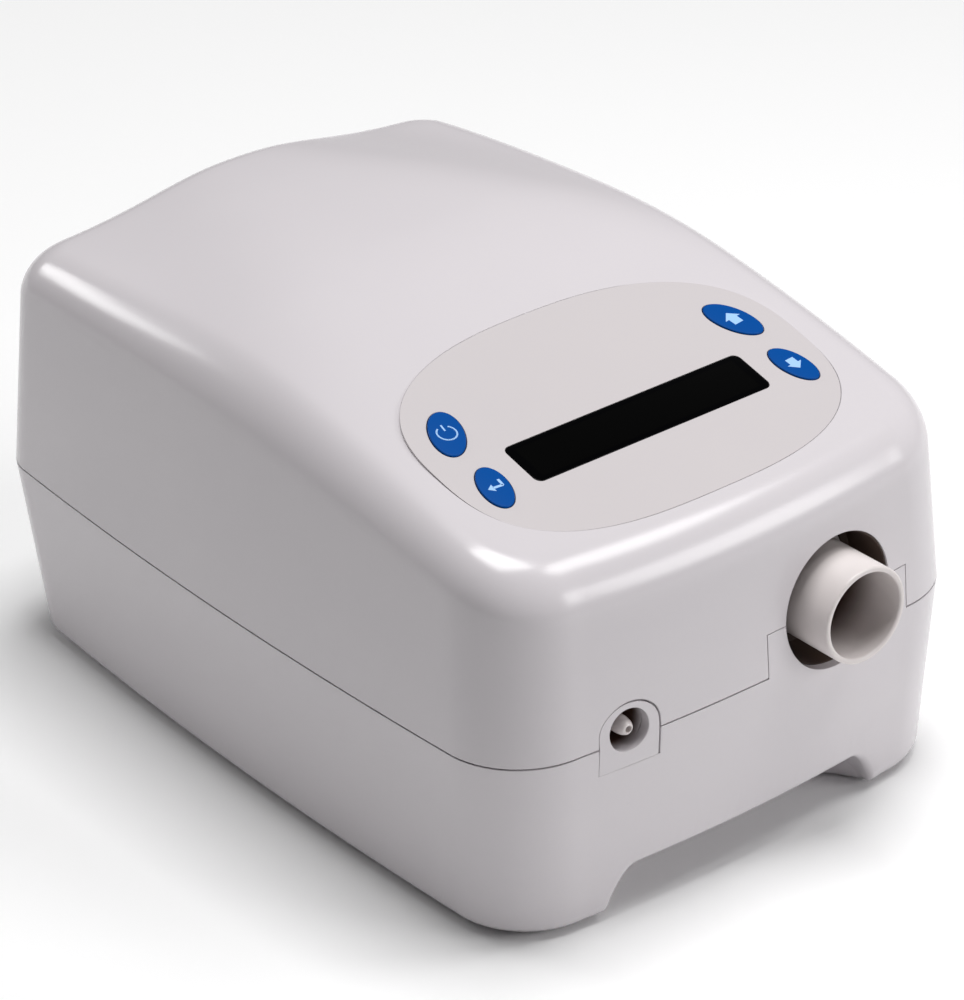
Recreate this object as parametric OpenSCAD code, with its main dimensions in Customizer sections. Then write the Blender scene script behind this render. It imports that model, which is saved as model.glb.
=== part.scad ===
// Bedside positive-airway-pressure machine: a two-part moulded housing with a sloping key panel,
// a 22 mm air outlet, a blower on rubber mounts over an intake silencer, and its electronics.
// Millimetres. +X is to the right seen from the front, -Y is the front, +Z is up. The origin is on
// the surface that the machine stands on, under the centre of its overall box.

/* [Housing] */
// Half of the width at the seam, half way back
half_w = 66.3; // [60:0.1:72]
// Front face at the seam, before its bow
front_y = 89.6; // [84:0.1:94]
// Back face at the seam
back_y = 99; // [95:0.5:105]
// Height of the seam between the two housing shells
seam_z = 44; // [38:0.5:48]
// Thickness of the housing walls
wall = 2.4; // [1.6:0.1:3]
// How far each side bows out between its ends
side_bow = 3.28; // [0:0.01:5]
// How far the front face bows out between its corners
front_bow = 2.4; // [0:0.1:4]
// Plan radius of the two front corners
front_r = 19.5; // [15:0.5:24]
// Plan radius of the two rear corners
rear_r = 13.5; // [10:0.5:17]
// Draft of the front and side walls below the seam, degrees
draft_low = 3.6; // [1:0.1:6]
// Draft of the front and side walls above the seam, degrees
draft_up = 3.2; // [1:0.1:6]
// Lean of the back wall away from the seam, degrees
draft_back = 6.9; // [2:0.1:9]
// Radius of the rounding round the top
top_r = 10; // [6:0.5:12]
// Radius of the rounding round the bottom
bottom_r = 3.5; // [1.5:0.5:5]
// Height of the highest point of the side edge
crest_z = 98.4; // [96:0.1:101]
// Place of that point along the machine
crest_y = 43; // [35:1:50]
// Radius of the side edge in front of its crest
edge_front_r = 650; // [550:10:800]
// Radius of the side edge behind its crest
edge_rear_r = 530; // [430:10:650]
// Chamfer of each shell's edge along the seam
seam_chamfer = 0.35; // [0.1:0.05:0.6]

/* [Key panel] */
// Place of the display's centre along the machine
panel_y = -55.5; // [-60:0.5:-50]
// Height of the panel's plane at the display's centre
panel_z = 91.65; // [88:0.05:95]
// Slope of the panel, degrees
panel_tilt = 14.6; // [10:0.1:17]
// Length over which the panel's slope eases into the hump
ease_len = 40; // [25:1:50]
// Radius of the hump's centre line behind its crest
hump_rear_r = 500; // [420:10:700]
// Half-width of the hump at the back edge
hump_w = 29; // [25:1:34]
// Half-width of the hump where the panel eases into it
hump_front_w = 80; // [74:1:88]
// How square the hump's section is at the back edge
hump_back_p = 2.5; // [2:0.1:4]
// How square the hump's section is over the panel
hump_panel_p = 5; // [4:0.1:6]
// Half-width of the printed overlay
overlay_a = 48.7; // [46:0.1:49.5]
// Half-height of the printed overlay
overlay_b = 32.2; // [30:0.1:32.5]
// How far the overlay's centre lies above the display's centre
overlay_w = 6.4; // [5:0.1:7]
// Thickness of the overlay sheet
overlay_t = 0.5; // [0.3:0.05:0.8]
// Width of the display window
window_w = 63.3; // [58:0.1:65]
// Height of the display window
window_h = 12.2; // [10:0.1:14]
// Thickness of the window pane
window_t = 1.6; // [1:0.1:2]

/* [Keys] */
// Long half-axis of an upper key
key_a = 7.2; // [6:0.1:7.6]
// Short half-axis of an upper key
key_b = 4.1; // [3.4:0.1:4.4]
// Size of a lower key against an upper one
lower_key = 0.9; // [0.8:0.01:1]
// Distance of the upper keys from the centre line
upper_x = 38.7; // [37:0.1:40]
// Distance of the upper keys above the display's centre
upper_w = 15.2; // [13:0.1:17]
// Lean of the upper keys, degrees
upper_lean = 27; // [0:1:40]
// Distance of the lower keys from the centre line
lower_x = 40.3; // [39:0.1:41]
// Distance of the lower keys above the display's centre
lower_w = -2.8; // [-5:0.1:0]
// Lean of the lower keys, degrees
lower_lean = 17; // [0:1:40]
// How far the keys stand above the overlay
key_proud = 0.4; // [0.3:0.1:1.2]
// Travel of a key
key_travel = 0.5; // [0.3:0.05:0.6]
// Gap all round between a key and the panel
key_gap = 0.35; // [0.3:0.05:0.5]
// Radius of the stem under a key
stem_r = 2; // [1.5:0.1:2.4]

/* [Air outlet] */
// Outer radius of the outlet, a 22 mm breathing connector
outlet_r = 11; // [10:0.1:12]
// Wall of the outlet tube
outlet_wall = 1.3; // [1:0.1:2]
// Place of the outlet across the machine
outlet_x = 23.6; // [20:0.1:26]
// Height of the outlet's centre
outlet_z = 54.1; // [52:0.1:56]
// How far in front of the origin the outlet ends
outlet_tip = 99; // [96:0.5:102]
// Length of the outlet in front of its flange
outlet_len = 21; // [18:0.5:24]
// Radius of the hole round the outlet
well_r = 15.2; // [14:0.1:17]
// Half-width of the lower shell's raised tab round the outlet
tab_w = 20.4; // [19:0.1:22]

/* [Pressure port] */
// Distance of the pressure port from the centre line
port_x = 33.2; // [31:0.1:35]
// Height of the port's centre
port_z = 46.1; // [44:0.1:48]
// Width of the port's insert plate
port_w = 14.7; // [13:0.1:16]
// Depth of the plate below the port's centre
port_drop = 8.6; // [7:0.1:10]
// Radius of the recess round the nipple
port_recess_r = 4.85; // [4.4:0.05:5.4]
// Outer radius of the nipple
nipple_r = 2; // [1.6:0.1:2.4]
// Radius of the hole through the nipple
nipple_bore = 0.8; // [0.5:0.1:1]

/* [Base] */
// Height of the finger arch under the front
arch_h = 11.5; // [9:0.5:14]
// Half-width of the arch where it is flat
arch_flat = 32; // [28:1:34]
// Half-width of the arch at the bottom
arch_foot = 38.5; // [36:0.5:41]
// Depth of the arch from front to back
arch_depth = 26; // [18:1:32]
// How far the rubber feet stand out below the housing
foot_proud = 0.8; // [0.5:0.1:1.5]
// Radius of a rubber foot
foot_r = 6.5; // [5:0.5:7.5]

/* [Rear wall] */
// Distance of the air filter's middle from the right wall
filter_side = 40.3; // [38:0.1:46]
// Height of the filter's centre
filter_z = 24; // [22:0.5:26]
// Width of the filter opening
filter_w = 38; // [30:1:42]
// Height of the filter opening
filter_h = 22; // [18:1:24]
// Thickness of the filter foam
filter_t = 6; // [4:0.5:8]
// Distance of the power inlet's middle from the left wall
inlet_side = 33.3; // [31:0.1:36]
// Height of the power inlet's centre
inlet_z = 24; // [22:0.5:26]
// Width of the power inlet's body
inlet_w = 27; // [25:0.5:28]
// Height of the power inlet's body
inlet_h = 19.8; // [18:0.2:21]

/* [Blower] */
// Place of the blower's shaft along the machine
blower_y = 14; // [8:1:20]
// Distance from the blower's shaft to the middle of its nozzle
nozzle_off = 28; // [26:0.5:30]
// Height of the scroll, outside
scroll_h = 24; // [22:1:26]
// Wall of the scroll
scroll_wall = 2; // [1.5:0.1:2.5]
// Radius of the impeller
impeller_r = 25; // [20:0.5:26]
// Number of blades on the impeller
blade_n = 11; // [7:1:15]
// Radius of the blower's air inlet
eye_r = 12; // [9:0.5:13]
// Radius of the shaft
shaft_r = 1.5; // [1:0.1:2]
// Running clearance of the shaft in its bearings
shaft_gap = 0.05; // [0.02:0.01:0.09]
// Outer radius of a bearing
bearing_r = 4; // [3.5:0.1:5]
// Outer radius of the motor
motor_r = 16; // [14:0.5:18]
// Height of the motor above the scroll
motor_h = 22; // [20:0.5:26]
// Height of the rubber mounts under the blower
mount_h = 6; // [4:0.5:8]

/* [Silencer box] */
// Clearance between the silencer box and the circuit boards
box_gap = 5.5; // [3:0.5:7]
// Distance of the silencer box from the right wall
box_side = 17.9; // [14:0.1:22]
// Distance of the silencer box from the front face
box_front_gap = 43.6; // [38:0.1:48]
// Distance of the silencer box from the back face
box_back_gap = 27; // [24:0.5:30]
// Wall of the silencer box
box_wall = 1.8; // [1.2:0.1:2.5]

/* [Boards] */
// Thickness of every circuit board
board_t = 1.6; // [1:0.2:2]
// Width of each of the two lower boards
board_w = 27.5; // [25:0.5:29]
// Distance of the lower boards from the left wall
board_side = 6.9; // [5:0.1:8]
// Clearance between the main board and the front screw bosses
board_front_gap = 3; // [1:0.5:6]
// Clearance between the power board and the rear screw bosses
board_rear_gap = 5; // [3:0.5:8]
// Clearance between the two lower boards
board_gap = 4; // [2:0.5:5]
// Depth of the key board below the panel's plane
key_board_n = 14; // [13:0.5:16]
// Height of the lower boards' standoffs above the floor
standoff_h = 5; // [4:0.5:8]
// Radius of the screws that hold the housing
screw_r = 1.5; // [1.2:0.1:2]

/* [Hidden] */
$fn = 48;

shell_color = [0.85, 0.84, 0.85];
rubber_color = [0.25, 0.25, 0.26];
metal_color = [0.75, 0.75, 0.78];
board_color = [0.1, 0.38, 0.2];
key_color = [0.04, 0.31, 0.66];
cut = 0.01;

// ---- Shape of the housing ----
ease_y = panel_y + (overlay_w + overlay_b + 3) * cos(panel_tilt);
bottom_z = foot_proud;
floor_z = bottom_z + wall;
board_x = -(half_w - wall - board_side - board_w / 2);
box_left = -(board_x + board_w / 2 + box_gap);
box_right = half_w - wall - box_side;
box_front = front_y - box_front_gap;
box_back = back_y - box_back_gap;
filter_x = half_w - filter_side;
inlet_x = half_w - inlet_side;

function taper(z, up, low) = abs(z - seam_z) * tan(z > seam_z ? up : low);
function half_at(z) = half_w - taper(z, draft_up, draft_low);
function front_at(z) = front_y - taper(z, draft_up, draft_low);
function back_at(z) = back_y - taper(z, draft_back, draft_back);
function side_x(y, z) = half_at(z) - side_bow * pow(y / front_y, 2);

// Height of the top over the side edge, and over the centre line
function edge_z(y) = crest_z - pow(y - crest_y, 2) / (2 * (y < crest_y ? edge_front_r : edge_rear_r));
function panel_line(y) = panel_z + tan(panel_tilt) * (y - panel_y);
function eased_z(y) = panel_line(y) - tan(panel_tilt) * pow(y - ease_y, 2) / (2 * ease_len);
function centre_z(y) = y < ease_y ? panel_line(y)
    : y < ease_y + ease_len ? eased_z(y)
    : eased_z(ease_y + ease_len) - pow(y - ease_y - ease_len, 2) / (2 * hump_rear_r);

// The hump runs the whole width over the panel and narrows to its foot at the back
function hump_way(y) = max(0, (back_y - top_r - y) / (back_y - top_r - ease_y));
function hump_half(y) = hump_w + (hump_front_w - hump_w) * min(2, hump_way(y));
function hump_power(y) = let (t = min(1, hump_way(y)))
    hump_back_p + (hump_panel_p - hump_back_p) * t * t * (3 - 2 * t);
function hump_share(x, y) = 1 / (1 + pow(abs(x) / hump_half(y), hump_power(y)));
function top_z(x, y) = let (rim = hump_share(half_w, y))
    edge_z(y) + (centre_z(y) - edge_z(y)) * max(0, (hump_share(x, y) - rim) / (1 - rim));

// Half of the plan outline at height z, moved in by d: front, corner, side, corner, back
front_n = 5;
corner_n = 6;
side_n = 9;
rear_n = 5;
back_n = 7;
half_n = front_n + corner_n + side_n + rear_n + back_n;

function half_point(i, z, d) =
    let (fy = front_r - front_at(z), fx = side_x(fy, z) - front_r,
         by = back_at(z) - rear_r, bx = side_x(by, z) - rear_r,
         c = i - front_n, s = c - corner_n, r = s - side_n, b = r - rear_n)
    c <= 0 ? let (x = fx * i / front_n)
            [x, fy - front_r - front_bow * (1 - pow(x / fx, 2)) + d]
    : s <= 0 ? let (t = 90 * c / corner_n - 90) [fx, fy] + (front_r - d) * [cos(t), sin(t)]
    : r <= 0 ? let (y = fy + (by - fy) * s / side_n) [side_x(y, z) - d, y]
    : b <= 0 ? let (t = 90 * r / rear_n) [bx, by] + (rear_r - d) * [cos(t), sin(t)]
    : [bx * (1 - b / back_n), by + rear_r - d];

ring_n = 2 * half_n;
field_steps = [0.2, 0.4, 0.6, 0.8];
function plan_point(i, z, d) = i <= half_n ? half_point(i, z, d)
    : let (p = half_point(ring_n - i, z, d)) [-p[0], p[1]];

function flat_ring(z, d) = [for (i = [0 : ring_n - 1]) concat(plan_point(i, z, d), z)];

// A ring on the rounding under the top: t runs from 0 on the wall to 90 on the top, w is the wall
function top_point(i, t, r, w) =
    let (d = w + r * (1 - cos(t)), guess = plan_point(i, crest_z, d),
         z = top_z(guess[0], guess[1]) - w - r * (1 - sin(t)))
    concat(plan_point(i, z, d), z);
function top_ring(t, r, w) = [for (i = [0 : ring_n - 1]) top_point(i, t, r, w)];

// A ring of the top's field, drawn in towards its middle
function field_point(p, s, w) = let (x = p[0] * s, y = p[1] * s) [x, y, top_z(x, y) - w];
function field_ring(s, r, w) = [for (i = [0 : ring_n - 1]) field_point(top_point(i, 90, r, w), s, w)];

function bottom_ring(t, r, z, w) = flat_ring(z + r * (1 - sin(t)), w + r * (1 - cos(t)));

// A closed skin over rings of ring_n points, shut by a fan at each end
module loft(rings, first, last) {
    m = len(rings);
    skin = [for (j = [0 : m - 2], i = [0 : ring_n - 1])
        let (a = j * ring_n + i, b = j * ring_n + (i + 1) % ring_n)
        each [[a, b + ring_n, b], [a, a + ring_n, b + ring_n]]];
    fans = [for (i = [0 : ring_n - 1])
        let (a = i, b = (i + 1) % ring_n, k = (m - 1) * ring_n)
        each [[m * ring_n, a, b], [m * ring_n + 1, k + b, k + a]]];
    polyhedron(points = concat([for (r = rings) each r], [first, last]),
        faces = concat(skin, fans), convexity = 8);
}

module upper_skin() {
    inner_r = top_r - wall;
    rings = concat(
        [for (s = field_steps) field_ring(s, inner_r, wall)],
        [for (t = [90, 45, 0]) top_ring(t, inner_r, wall)],
        [flat_ring(seam_z, wall), flat_ring(seam_z, seam_chamfer), flat_ring(seam_z + seam_chamfer, 0)],
        [for (t = [0, 22, 45, 68, 90]) top_ring(t, top_r, 0)],
        [for (k = [len(field_steps) - 1 : -1 : 0]) field_ring(field_steps[k], top_r, 0)]);
    loft(rings, [0, 0, top_z(0, 0) - wall], [0, 0, top_z(0, 0)]);
}

module lower_skin() {
    inner_r = 1;
    rings = concat(
        [for (t = [90, 60, 30, 0]) bottom_ring(t, bottom_r, bottom_z, 0)],
        [flat_ring(seam_z - seam_chamfer, 0), flat_ring(seam_z, seam_chamfer), flat_ring(seam_z, wall)],
        [for (t = [0, 90]) bottom_ring(t, inner_r, floor_z, wall)]);
    loft(rings, [0, 0, bottom_z], [0, 0, floor_z]);
}

// A band of wall across the seam, for the pieces that cross it without a groove
module seam_band() {
    difference() {
        loft([for (z = [-1, 0, 1]) flat_ring(seam_z + z, 0)], [0, 0, seam_z - 1], [0, 0, seam_z + 1]);
        loft([for (z = [-2, 2]) flat_ring(seam_z + z, wall)], [0, 0, seam_z - 2], [0, 0, seam_z + 2]);
    }
}

// ---- Frames to build in ----
// The panel's own frame: X across, Y up the slope, Z out of the panel, from the display's centre
module on_panel() {
    translate([0, panel_y, panel_z]) rotate([panel_tilt, 0, 0]) children();
}

// A frame on the lower back wall: Y out of the wall, Z up it
module on_rear(x, z) {
    translate([x, back_at(z), z]) rotate([-draft_back, 0, 0]) children();
}

// Along the machine: a shape drawn about Z is laid so that its Z points to the front
module to_front(x, y, z) {
    translate([x, y, z]) rotate([90, 0, 0]) children();
}

module block(lo, hi) {
    translate(lo) cube(hi - lo);
}

module ring_of(r_out, r_in, h) {
    difference() {
        cylinder(r = r_out, h = h);
        translate([0, 0, -1]) cylinder(r = r_in, h = h + 2);
    }
}

function ellipse(a, b, n = 40) = [for (k = [0 : n - 1]) [a * cos(360 * k / n), b * sin(360 * k / n)]];

// ---- Key panel ----
function oval(grow = 0, n = 56) = [for (k = [0 : n - 1])
    let (t = 360 * k / n, p = sin(t) > 0 ? 2.5 : 2.9,
         c = pow(abs(cos(t)), 2 / p), s = pow(abs(sin(t)), 2 / p))
    [(overlay_a + grow) * c * sign(cos(t)), overlay_w + (overlay_b + grow) * s * sign(sin(t))]];

// Where the keys are: power, enter, up and down, each [x, y, lean, size]
key_places = [[-upper_x, upper_w, -upper_lean, 1], [-lower_x, lower_w, -lower_lean, lower_key],
    [upper_x, upper_w, upper_lean, 1], [lower_x, lower_w, lower_lean, lower_key]];

module at_key(k) {
    translate([key_places[k][0], key_places[k][1], 0]) rotate([0, 0, key_places[k][2]]) children();
}

module key_outline(k, grow) {
    size = key_places[k][3];
    polygon(ellipse(key_b * size + grow, key_a * size + grow));
}

flange_t = 0.9;
flange_lip = 1;
flange_drop = 0.4;
key_bottom = -wall - flange_drop - flange_t;
switch_h = 3.6;
switch_w = 6;
plunger_out = 1;
plunger_r = 1.7;
plunger_top = -key_board_n + switch_h + plunger_out;

module key(k) {
    cap_edge = 0.25;
    color(key_color) on_panel() at_key(k) {
        translate([0, 0, key_bottom + flange_t - cut])
            linear_extrude(key_proud - cap_edge - key_bottom - flange_t + cut) key_outline(k, 0);
        translate([0, 0, key_proud - cap_edge - cut])
            linear_extrude(cap_edge + cut) key_outline(k, -cap_edge);
        translate([0, 0, key_bottom]) linear_extrude(flange_t) key_outline(k, flange_lip);
        translate([0, 0, plunger_top]) cylinder(r = stem_r, h = key_bottom - plunger_top + cut);
    }
}

module plunger(k) {
    color("#303034") on_panel() at_key(k)
        translate([0, 0, plunger_top - plunger_out - plunger_out])
            cylinder(r = plunger_r, h = 2 * plunger_out);
}

module power_button() { key(0); }
module enter_button() { key(1); }
module up_button() { key(2); }
module down_button() { key(3); }
module power_plunger() { plunger(0); }
module enter_plunger() { plunger(1); }
module up_plunger() { plunger(2); }
module down_plunger() { plunger(3); }

module key_switches() {
    well = 2 * plunger_out + key_travel;
    color("#48484c") on_panel() for (k = [0 : 3]) at_key(k) difference() {
        translate([-switch_w / 2, -switch_w / 2, -key_board_n]) cube([switch_w, switch_w, switch_h]);
        translate([0, 0, plunger_top - plunger_out - well]) cylinder(r = plunger_r + 0.3, h = 2 * well);
    }
}

module control_overlay() {
    color([0.82, 0.81, 0.82]) on_panel() translate([0, 0, -overlay_t])
        linear_extrude(overlay_t) difference() {
            polygon(oval());
            square([window_w, window_h], center = true);
            for (k = [0 : 3]) at_key(k) key_outline(k, key_gap);
        }
}

module display_window() {
    pane_gap = 0.1;
    pane = [window_w - 2 * pane_gap, window_h - 2 * pane_gap, window_t];
    color("#08080a") on_panel() translate([-pane[0] / 2, -pane[1] / 2, -window_t]) cube(pane);
}

module_w = window_w + 0.8;
module_h = 26;
module_top = -wall - 0.5;
module_t = 6;
header_w = 40;

// The display's board and metal frame, its glass against the window, and its pin header
module display_module() {
    glass_edge = 0.6;
    color(metal_color) on_panel() {
        translate([-module_w / 2, -module_h / 2, module_top - module_t])
            cube([module_w, module_h, module_t]);
        translate([-window_w / 2 + glass_edge, -window_h / 2 + glass_edge, module_top - cut])
            cube([window_w - 2 * glass_edge, window_h - 2 * glass_edge, -window_t - module_top + cut]);
        translate([-header_w / 2, module_h / 2 - 4, -key_board_n])
            cube([header_w, 2.5, key_board_n + module_top - module_t + cut]);
    }
}

key_board_w = 94;
key_board_low = -21;
key_board_high = 26;
post_x = 28;
post_low = -17;
post_high = 21.5;
post_r = 2.6;
small_screw_r = 1.1;
small_head_r = 2.2;
small_head_h = 1.3;
small_reach = 6;
screw_clear = 0.1;

module at_key_posts() {
    on_panel() for (x = [-post_x, post_x], w = [post_low, post_high]) translate([x, w, 0]) children();
}

module key_board() {
    color(board_color) difference() {
        on_panel() translate([-key_board_w / 2, key_board_low, -key_board_n - board_t])
            cube([key_board_w, key_board_high - key_board_low, board_t]);
        at_key_posts() translate([0, 0, -key_board_n - board_t - 1])
            cylinder(r = small_screw_r + screw_clear, h = board_t + 2);
    }
}

// A small screw drawn with the underside of its head at z = 0 and its shank downwards
module small_screw(reach) {
    translate([0, 0, -reach]) cylinder(r = small_screw_r, h = reach + cut);
    difference() {
        cylinder(r = small_head_r, h = small_head_h);
        for (a = [0, 90]) rotate([0, 0, a]) translate([-1.2, -0.25, 0.6]) cube([2.4, 0.5, small_head_h]);
    }
}

module key_board_screws() {
    color(metal_color) at_key_posts() translate([0, 0, -key_board_n - board_t])
        mirror([0, 0, 1]) small_screw(board_t + small_reach);
}

// ---- Housing shells ----
shell_screw_x = half_w - 13.3;
screw_front_y = -(front_y - 31.6);
screw_back_y = back_y - 15;
boss_r = 5;
head_r = 3;
head_h = 2.2;
head_seat_z = 34;
screw_reach = 12;

module at_shell_screws() {
    for (x = [-shell_screw_x, shell_screw_x], y = [screw_front_y, screw_back_y])
        translate([x, y, 0]) children();
}

// The arched insert plate round the pressure port, seen from the front
module port_arch(grow) {
    r = port_w / 2 + grow;
    to_front(-port_x, 0, port_z) linear_extrude(front_y + front_bow + 2) union() {
        circle(r = r);
        translate([-r, -port_drop - grow]) square([2 * r, port_drop + grow]);
    }
}

module outlet_tab(grow) {
    block([outlet_x - tab_w - grow, -front_y - front_bow - 2, seam_z - 1],
        [outlet_x + tab_w + grow, 0, outlet_z + grow]);
}

module outlet_well() {
    to_front(outlet_x, 0, outlet_z) cylinder(r = well_r, h = front_y + front_bow + 5);
}

shell_gap = 0.1;
boss_drop = 6;
web_t = 1.6;

// A screw boss of the upper shell, with a web out to the side wall
module upper_boss(s, y) {
    high = top_z(shell_screw_x, y) - boss_drop;
    mid = wall / 2;
    translate([s * shell_screw_x, y, seam_z]) cylinder(r = boss_r - 0.5, h = high - seam_z);
    to_front(0, y + web_t / 2, 0) linear_extrude(web_t) polygon([
        [s * shell_screw_x, seam_z], [s * (side_x(y, seam_z) - mid), seam_z],
        [s * (side_x(y, high) - mid), high - boss_drop], [s * shell_screw_x, high - boss_drop]]);
}

module upper_shell() {
    color(shell_color) {
        difference() {
            upper_skin();
            outlet_tab(shell_gap);
            outlet_well();
            port_arch(shell_gap);
            on_panel() translate([0, 0, -overlay_t]) linear_extrude(overlay_t + 2) polygon(oval(0.15));
            on_panel() translate([-window_w / 2, -window_h / 2, -2 * wall])
                cube([window_w, window_h, 3 * wall]);
            on_panel() for (k = [0 : 3]) at_key(k)
                translate([0, 0, -2 * wall]) linear_extrude(3 * wall) key_outline(k, key_gap);
        }
        at_key_posts() difference() {
            translate([0, 0, -key_board_n]) cylinder(r = post_r, h = key_board_n - wall / 2 - overlay_t);
            translate([0, 0, -key_board_n - 1])
                cylinder(r = small_screw_r + screw_clear, h = small_reach + 1.5);
        }
        for (s = [-1, 1], y = [screw_front_y, screw_back_y]) difference() {
            upper_boss(s, y);
            translate([s * shell_screw_x, y, seam_z - 1])
                cylinder(r = screw_r + screw_clear, h = screw_reach + 3);
        }
    }
}

// The right half of the finger arch seen from the front: an S-curve up from its foot to the flat
function arch_side(grow, n = 6) = [for (k = [0 : n]) let (t = k / n)
    [arch_foot - (arch_foot - arch_flat) * t + grow,
     bottom_z - 1 + (arch_h - bottom_z + 1) * (1 - cos(180 * t)) / 2 + grow]];

module arch_space(grow) {
    side = arch_side(grow);
    foot = [arch_foot + grow, bottom_z - 2];
    intersection() {
        to_front(0, 0, 0) linear_extrude(front_y + front_bow + 2)
            polygon(concat([foot], side, [for (k = [len(side) - 1 : -1 : 0]) [-side[k][0], side[k][1]]],
                [[-foot[0], foot[1]]]));
        translate([0, -front_y, -2]) linear_extrude(arch_h + grow + 3)
            polygon(ellipse(arch_foot + grow, arch_depth + grow));
    }
}

board_front = screw_front_y + boss_r + board_front_gap;
board_rear = screw_back_y - boss_r - board_rear_gap;
board_l = (board_rear - board_front - board_gap) / 2;
main_board_y = board_front + board_l / 2;
power_board_y = board_rear - board_l / 2;
lower_boards = [for (y = [main_board_y, power_board_y])
    [board_x - board_w / 2, y - board_l / 2, board_x + board_w / 2, y + board_l / 2]];
board_z = floor_z + standoff_h;
standoff_r = 3;
board_inset = 3.5;

module at_standoffs() {
    i = board_inset;
    for (b = lower_boards, x = [b[0] + i, b[2] - i], y = [b[1] + i, b[3] - i])
        translate([x, y, 0]) children();
}

foot_front_x = half_w - 17.8;
foot_front_y = front_y - 18.6;
foot_rear_x = half_w - 25.3;
foot_rear_y = back_y - 19;
foot_sink = 1.2;

module at_feet() {
    for (s = [-1, 1]) {
        translate([s * foot_front_x, -foot_front_y, 0]) children();
        translate([s * foot_rear_x, foot_rear_y, 0]) children();
    }
}

cover_edge = 2.5;
cover_sink = 1.2;
cover_proud = 1;
cover_gap = 0.35;

module lower_shell() {
    margin = cover_edge + cover_gap;
    color(shell_color) {
        difference() {
            union() {
                lower_skin();
                intersection() {
                    union() {
                        upper_skin();
                        seam_band();
                    }
                    outlet_tab(0);
                }
                difference() {
                    arch_space(wall);
                    block([-half_w, -front_y - 10, -5], [half_w, -front_y - cut + wall, arch_h + 2 * wall]);
                    block([-half_w, -front_y, -5], [half_w, 0, bottom_z + cut]);
                }
            }
            arch_space(0);
            outlet_well();
            port_arch(shell_gap);
            at_feet() translate([0, 0, -1]) cylinder(r = foot_r + 0.1, h = bottom_z + foot_sink + 1);
            at_shell_screws() translate([0, 0, -1]) cylinder(r = head_r + 0.4, h = head_seat_z + 1);
            on_rear(filter_x, filter_z) {
                translate([-filter_w / 2, -4 * wall, -filter_h / 2]) cube([filter_w, 6 * wall, filter_h]);
                translate([-filter_w / 2 - margin, -cover_sink, -filter_h / 2 - margin])
                    cube([filter_w + 2 * margin, 5, filter_h + 2 * margin]);
            }
            on_rear(-inlet_x, inlet_z) translate([-inlet_w / 2 - 0.2, -4 * wall, -inlet_h / 2 - 0.2])
                cube([inlet_w + 0.4, 6 * wall, inlet_h + 0.4]);
        }
        at_shell_screws() difference() {
            translate([0, 0, floor_z - cut]) cylinder(r = boss_r, h = seam_z - floor_z + cut);
            translate([0, 0, -1]) cylinder(r = head_r + 0.4, h = head_seat_z + 1);
            cylinder(r = screw_r + 0.2, h = seam_z + 1);
        }
        at_standoffs() translate([0, 0, floor_z - 0.5]) difference() {
            cylinder(r = standoff_r, h = standoff_h + 0.5);
            translate([0, 0, 1.5]) cylinder(r = small_screw_r + screw_clear, h = standoff_h);
        }
    }
}

module rubber_feet() {
    color(rubber_color) at_feet() {
        cylinder(r1 = foot_r - 0.6, r2 = foot_r, h = 0.6);
        translate([0, 0, 0.6 - cut]) cylinder(r = foot_r, h = bottom_z + foot_sink - 0.6 + cut);
    }
}

module shell_screws() {
    color(metal_color) at_shell_screws() translate([0, 0, head_seat_z - head_h]) {
        difference() {
            cylinder(r = head_r, h = head_h);
            for (a = [0, 90]) rotate([0, 0, a]) translate([-1.6, -0.35, -1]) cube([3.2, 0.7, 2]);
        }
        translate([0, 0, head_h - cut]) cylinder(r = screw_r, h = seam_z - head_seat_z + screw_reach);
    }
}

// ---- Air outlet ----
flange_front_y = outlet_tip - outlet_len;
flange_wall = 2.4;
cup_wall = 1.6;
cup_front_y = front_y - wall - 1.2;
tube_back_y = 46;
tail_r = outlet_r - 0.1;
tip_round = 0.5;

// Drawn about Z and laid along the machine, so heights here are distances in front of the origin
module outlet_tube() {
    bore_r = outlet_r - outlet_wall;
    color([0.83, 0.79, 0.77]) to_front(outlet_x, 0, outlet_z) rotate_extrude($fn = 96) polygon([
        [bore_r, tube_back_y], [tail_r, tube_back_y], [tail_r, flange_front_y - flange_wall],
        [well_r + 0.4 + cup_wall, flange_front_y - flange_wall], [well_r + 0.4 + cup_wall, cup_front_y],
        [well_r + 0.4, cup_front_y], [well_r + 0.4, flange_front_y], [outlet_r, flange_front_y],
        [outlet_r, outlet_tip - tip_round], [outlet_r - tip_round, outlet_tip],
        [bore_r + tip_round, outlet_tip], [bore_r, outlet_tip - tip_round]]);
}

nozzle_end_y = 42;
nozzle_r = 10.8;
boot_front_y = 58;
boot_back_y = 32;
boot_wall = 1.8;

module outlet_boot() {
    color(rubber_color) to_front(outlet_x, -boot_back_y, outlet_z) {
        ring_of(outlet_r + boot_wall, outlet_r, boot_front_y - boot_back_y);
        for (h = [1, boot_front_y - boot_back_y - 4])
            translate([0, 0, h]) ring_of(outlet_r + boot_wall + 0.8, outlet_r + boot_wall - 0.5, 3);
    }
}

// ---- Pressure port ----
port_floor_y = 83;
port_cup_wall = 1.4;
port_back_wall = 2.4;
nipple_tip_y = 90.4;
nipple_tail_y = 70;
neck_r = nipple_r - 0.5;

module port_plate() {
    color(shell_color) difference() {
        union() {
            intersection() {
                union() {
                    upper_skin();
                    lower_skin();
                    seam_band();
                }
                port_arch(0);
            }
            to_front(-port_x, -port_floor_y + port_back_wall, port_z)
                cylinder(r = port_recess_r + port_cup_wall,
                    h = front_y - wall / 2 - port_floor_y + port_back_wall);
        }
        to_front(-port_x, -port_floor_y, port_z) cylinder(r = port_recess_r, h = 20);
        to_front(-port_x, -port_floor_y + 5, port_z) cylinder(r = neck_r, h = 10);
    }
}

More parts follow.
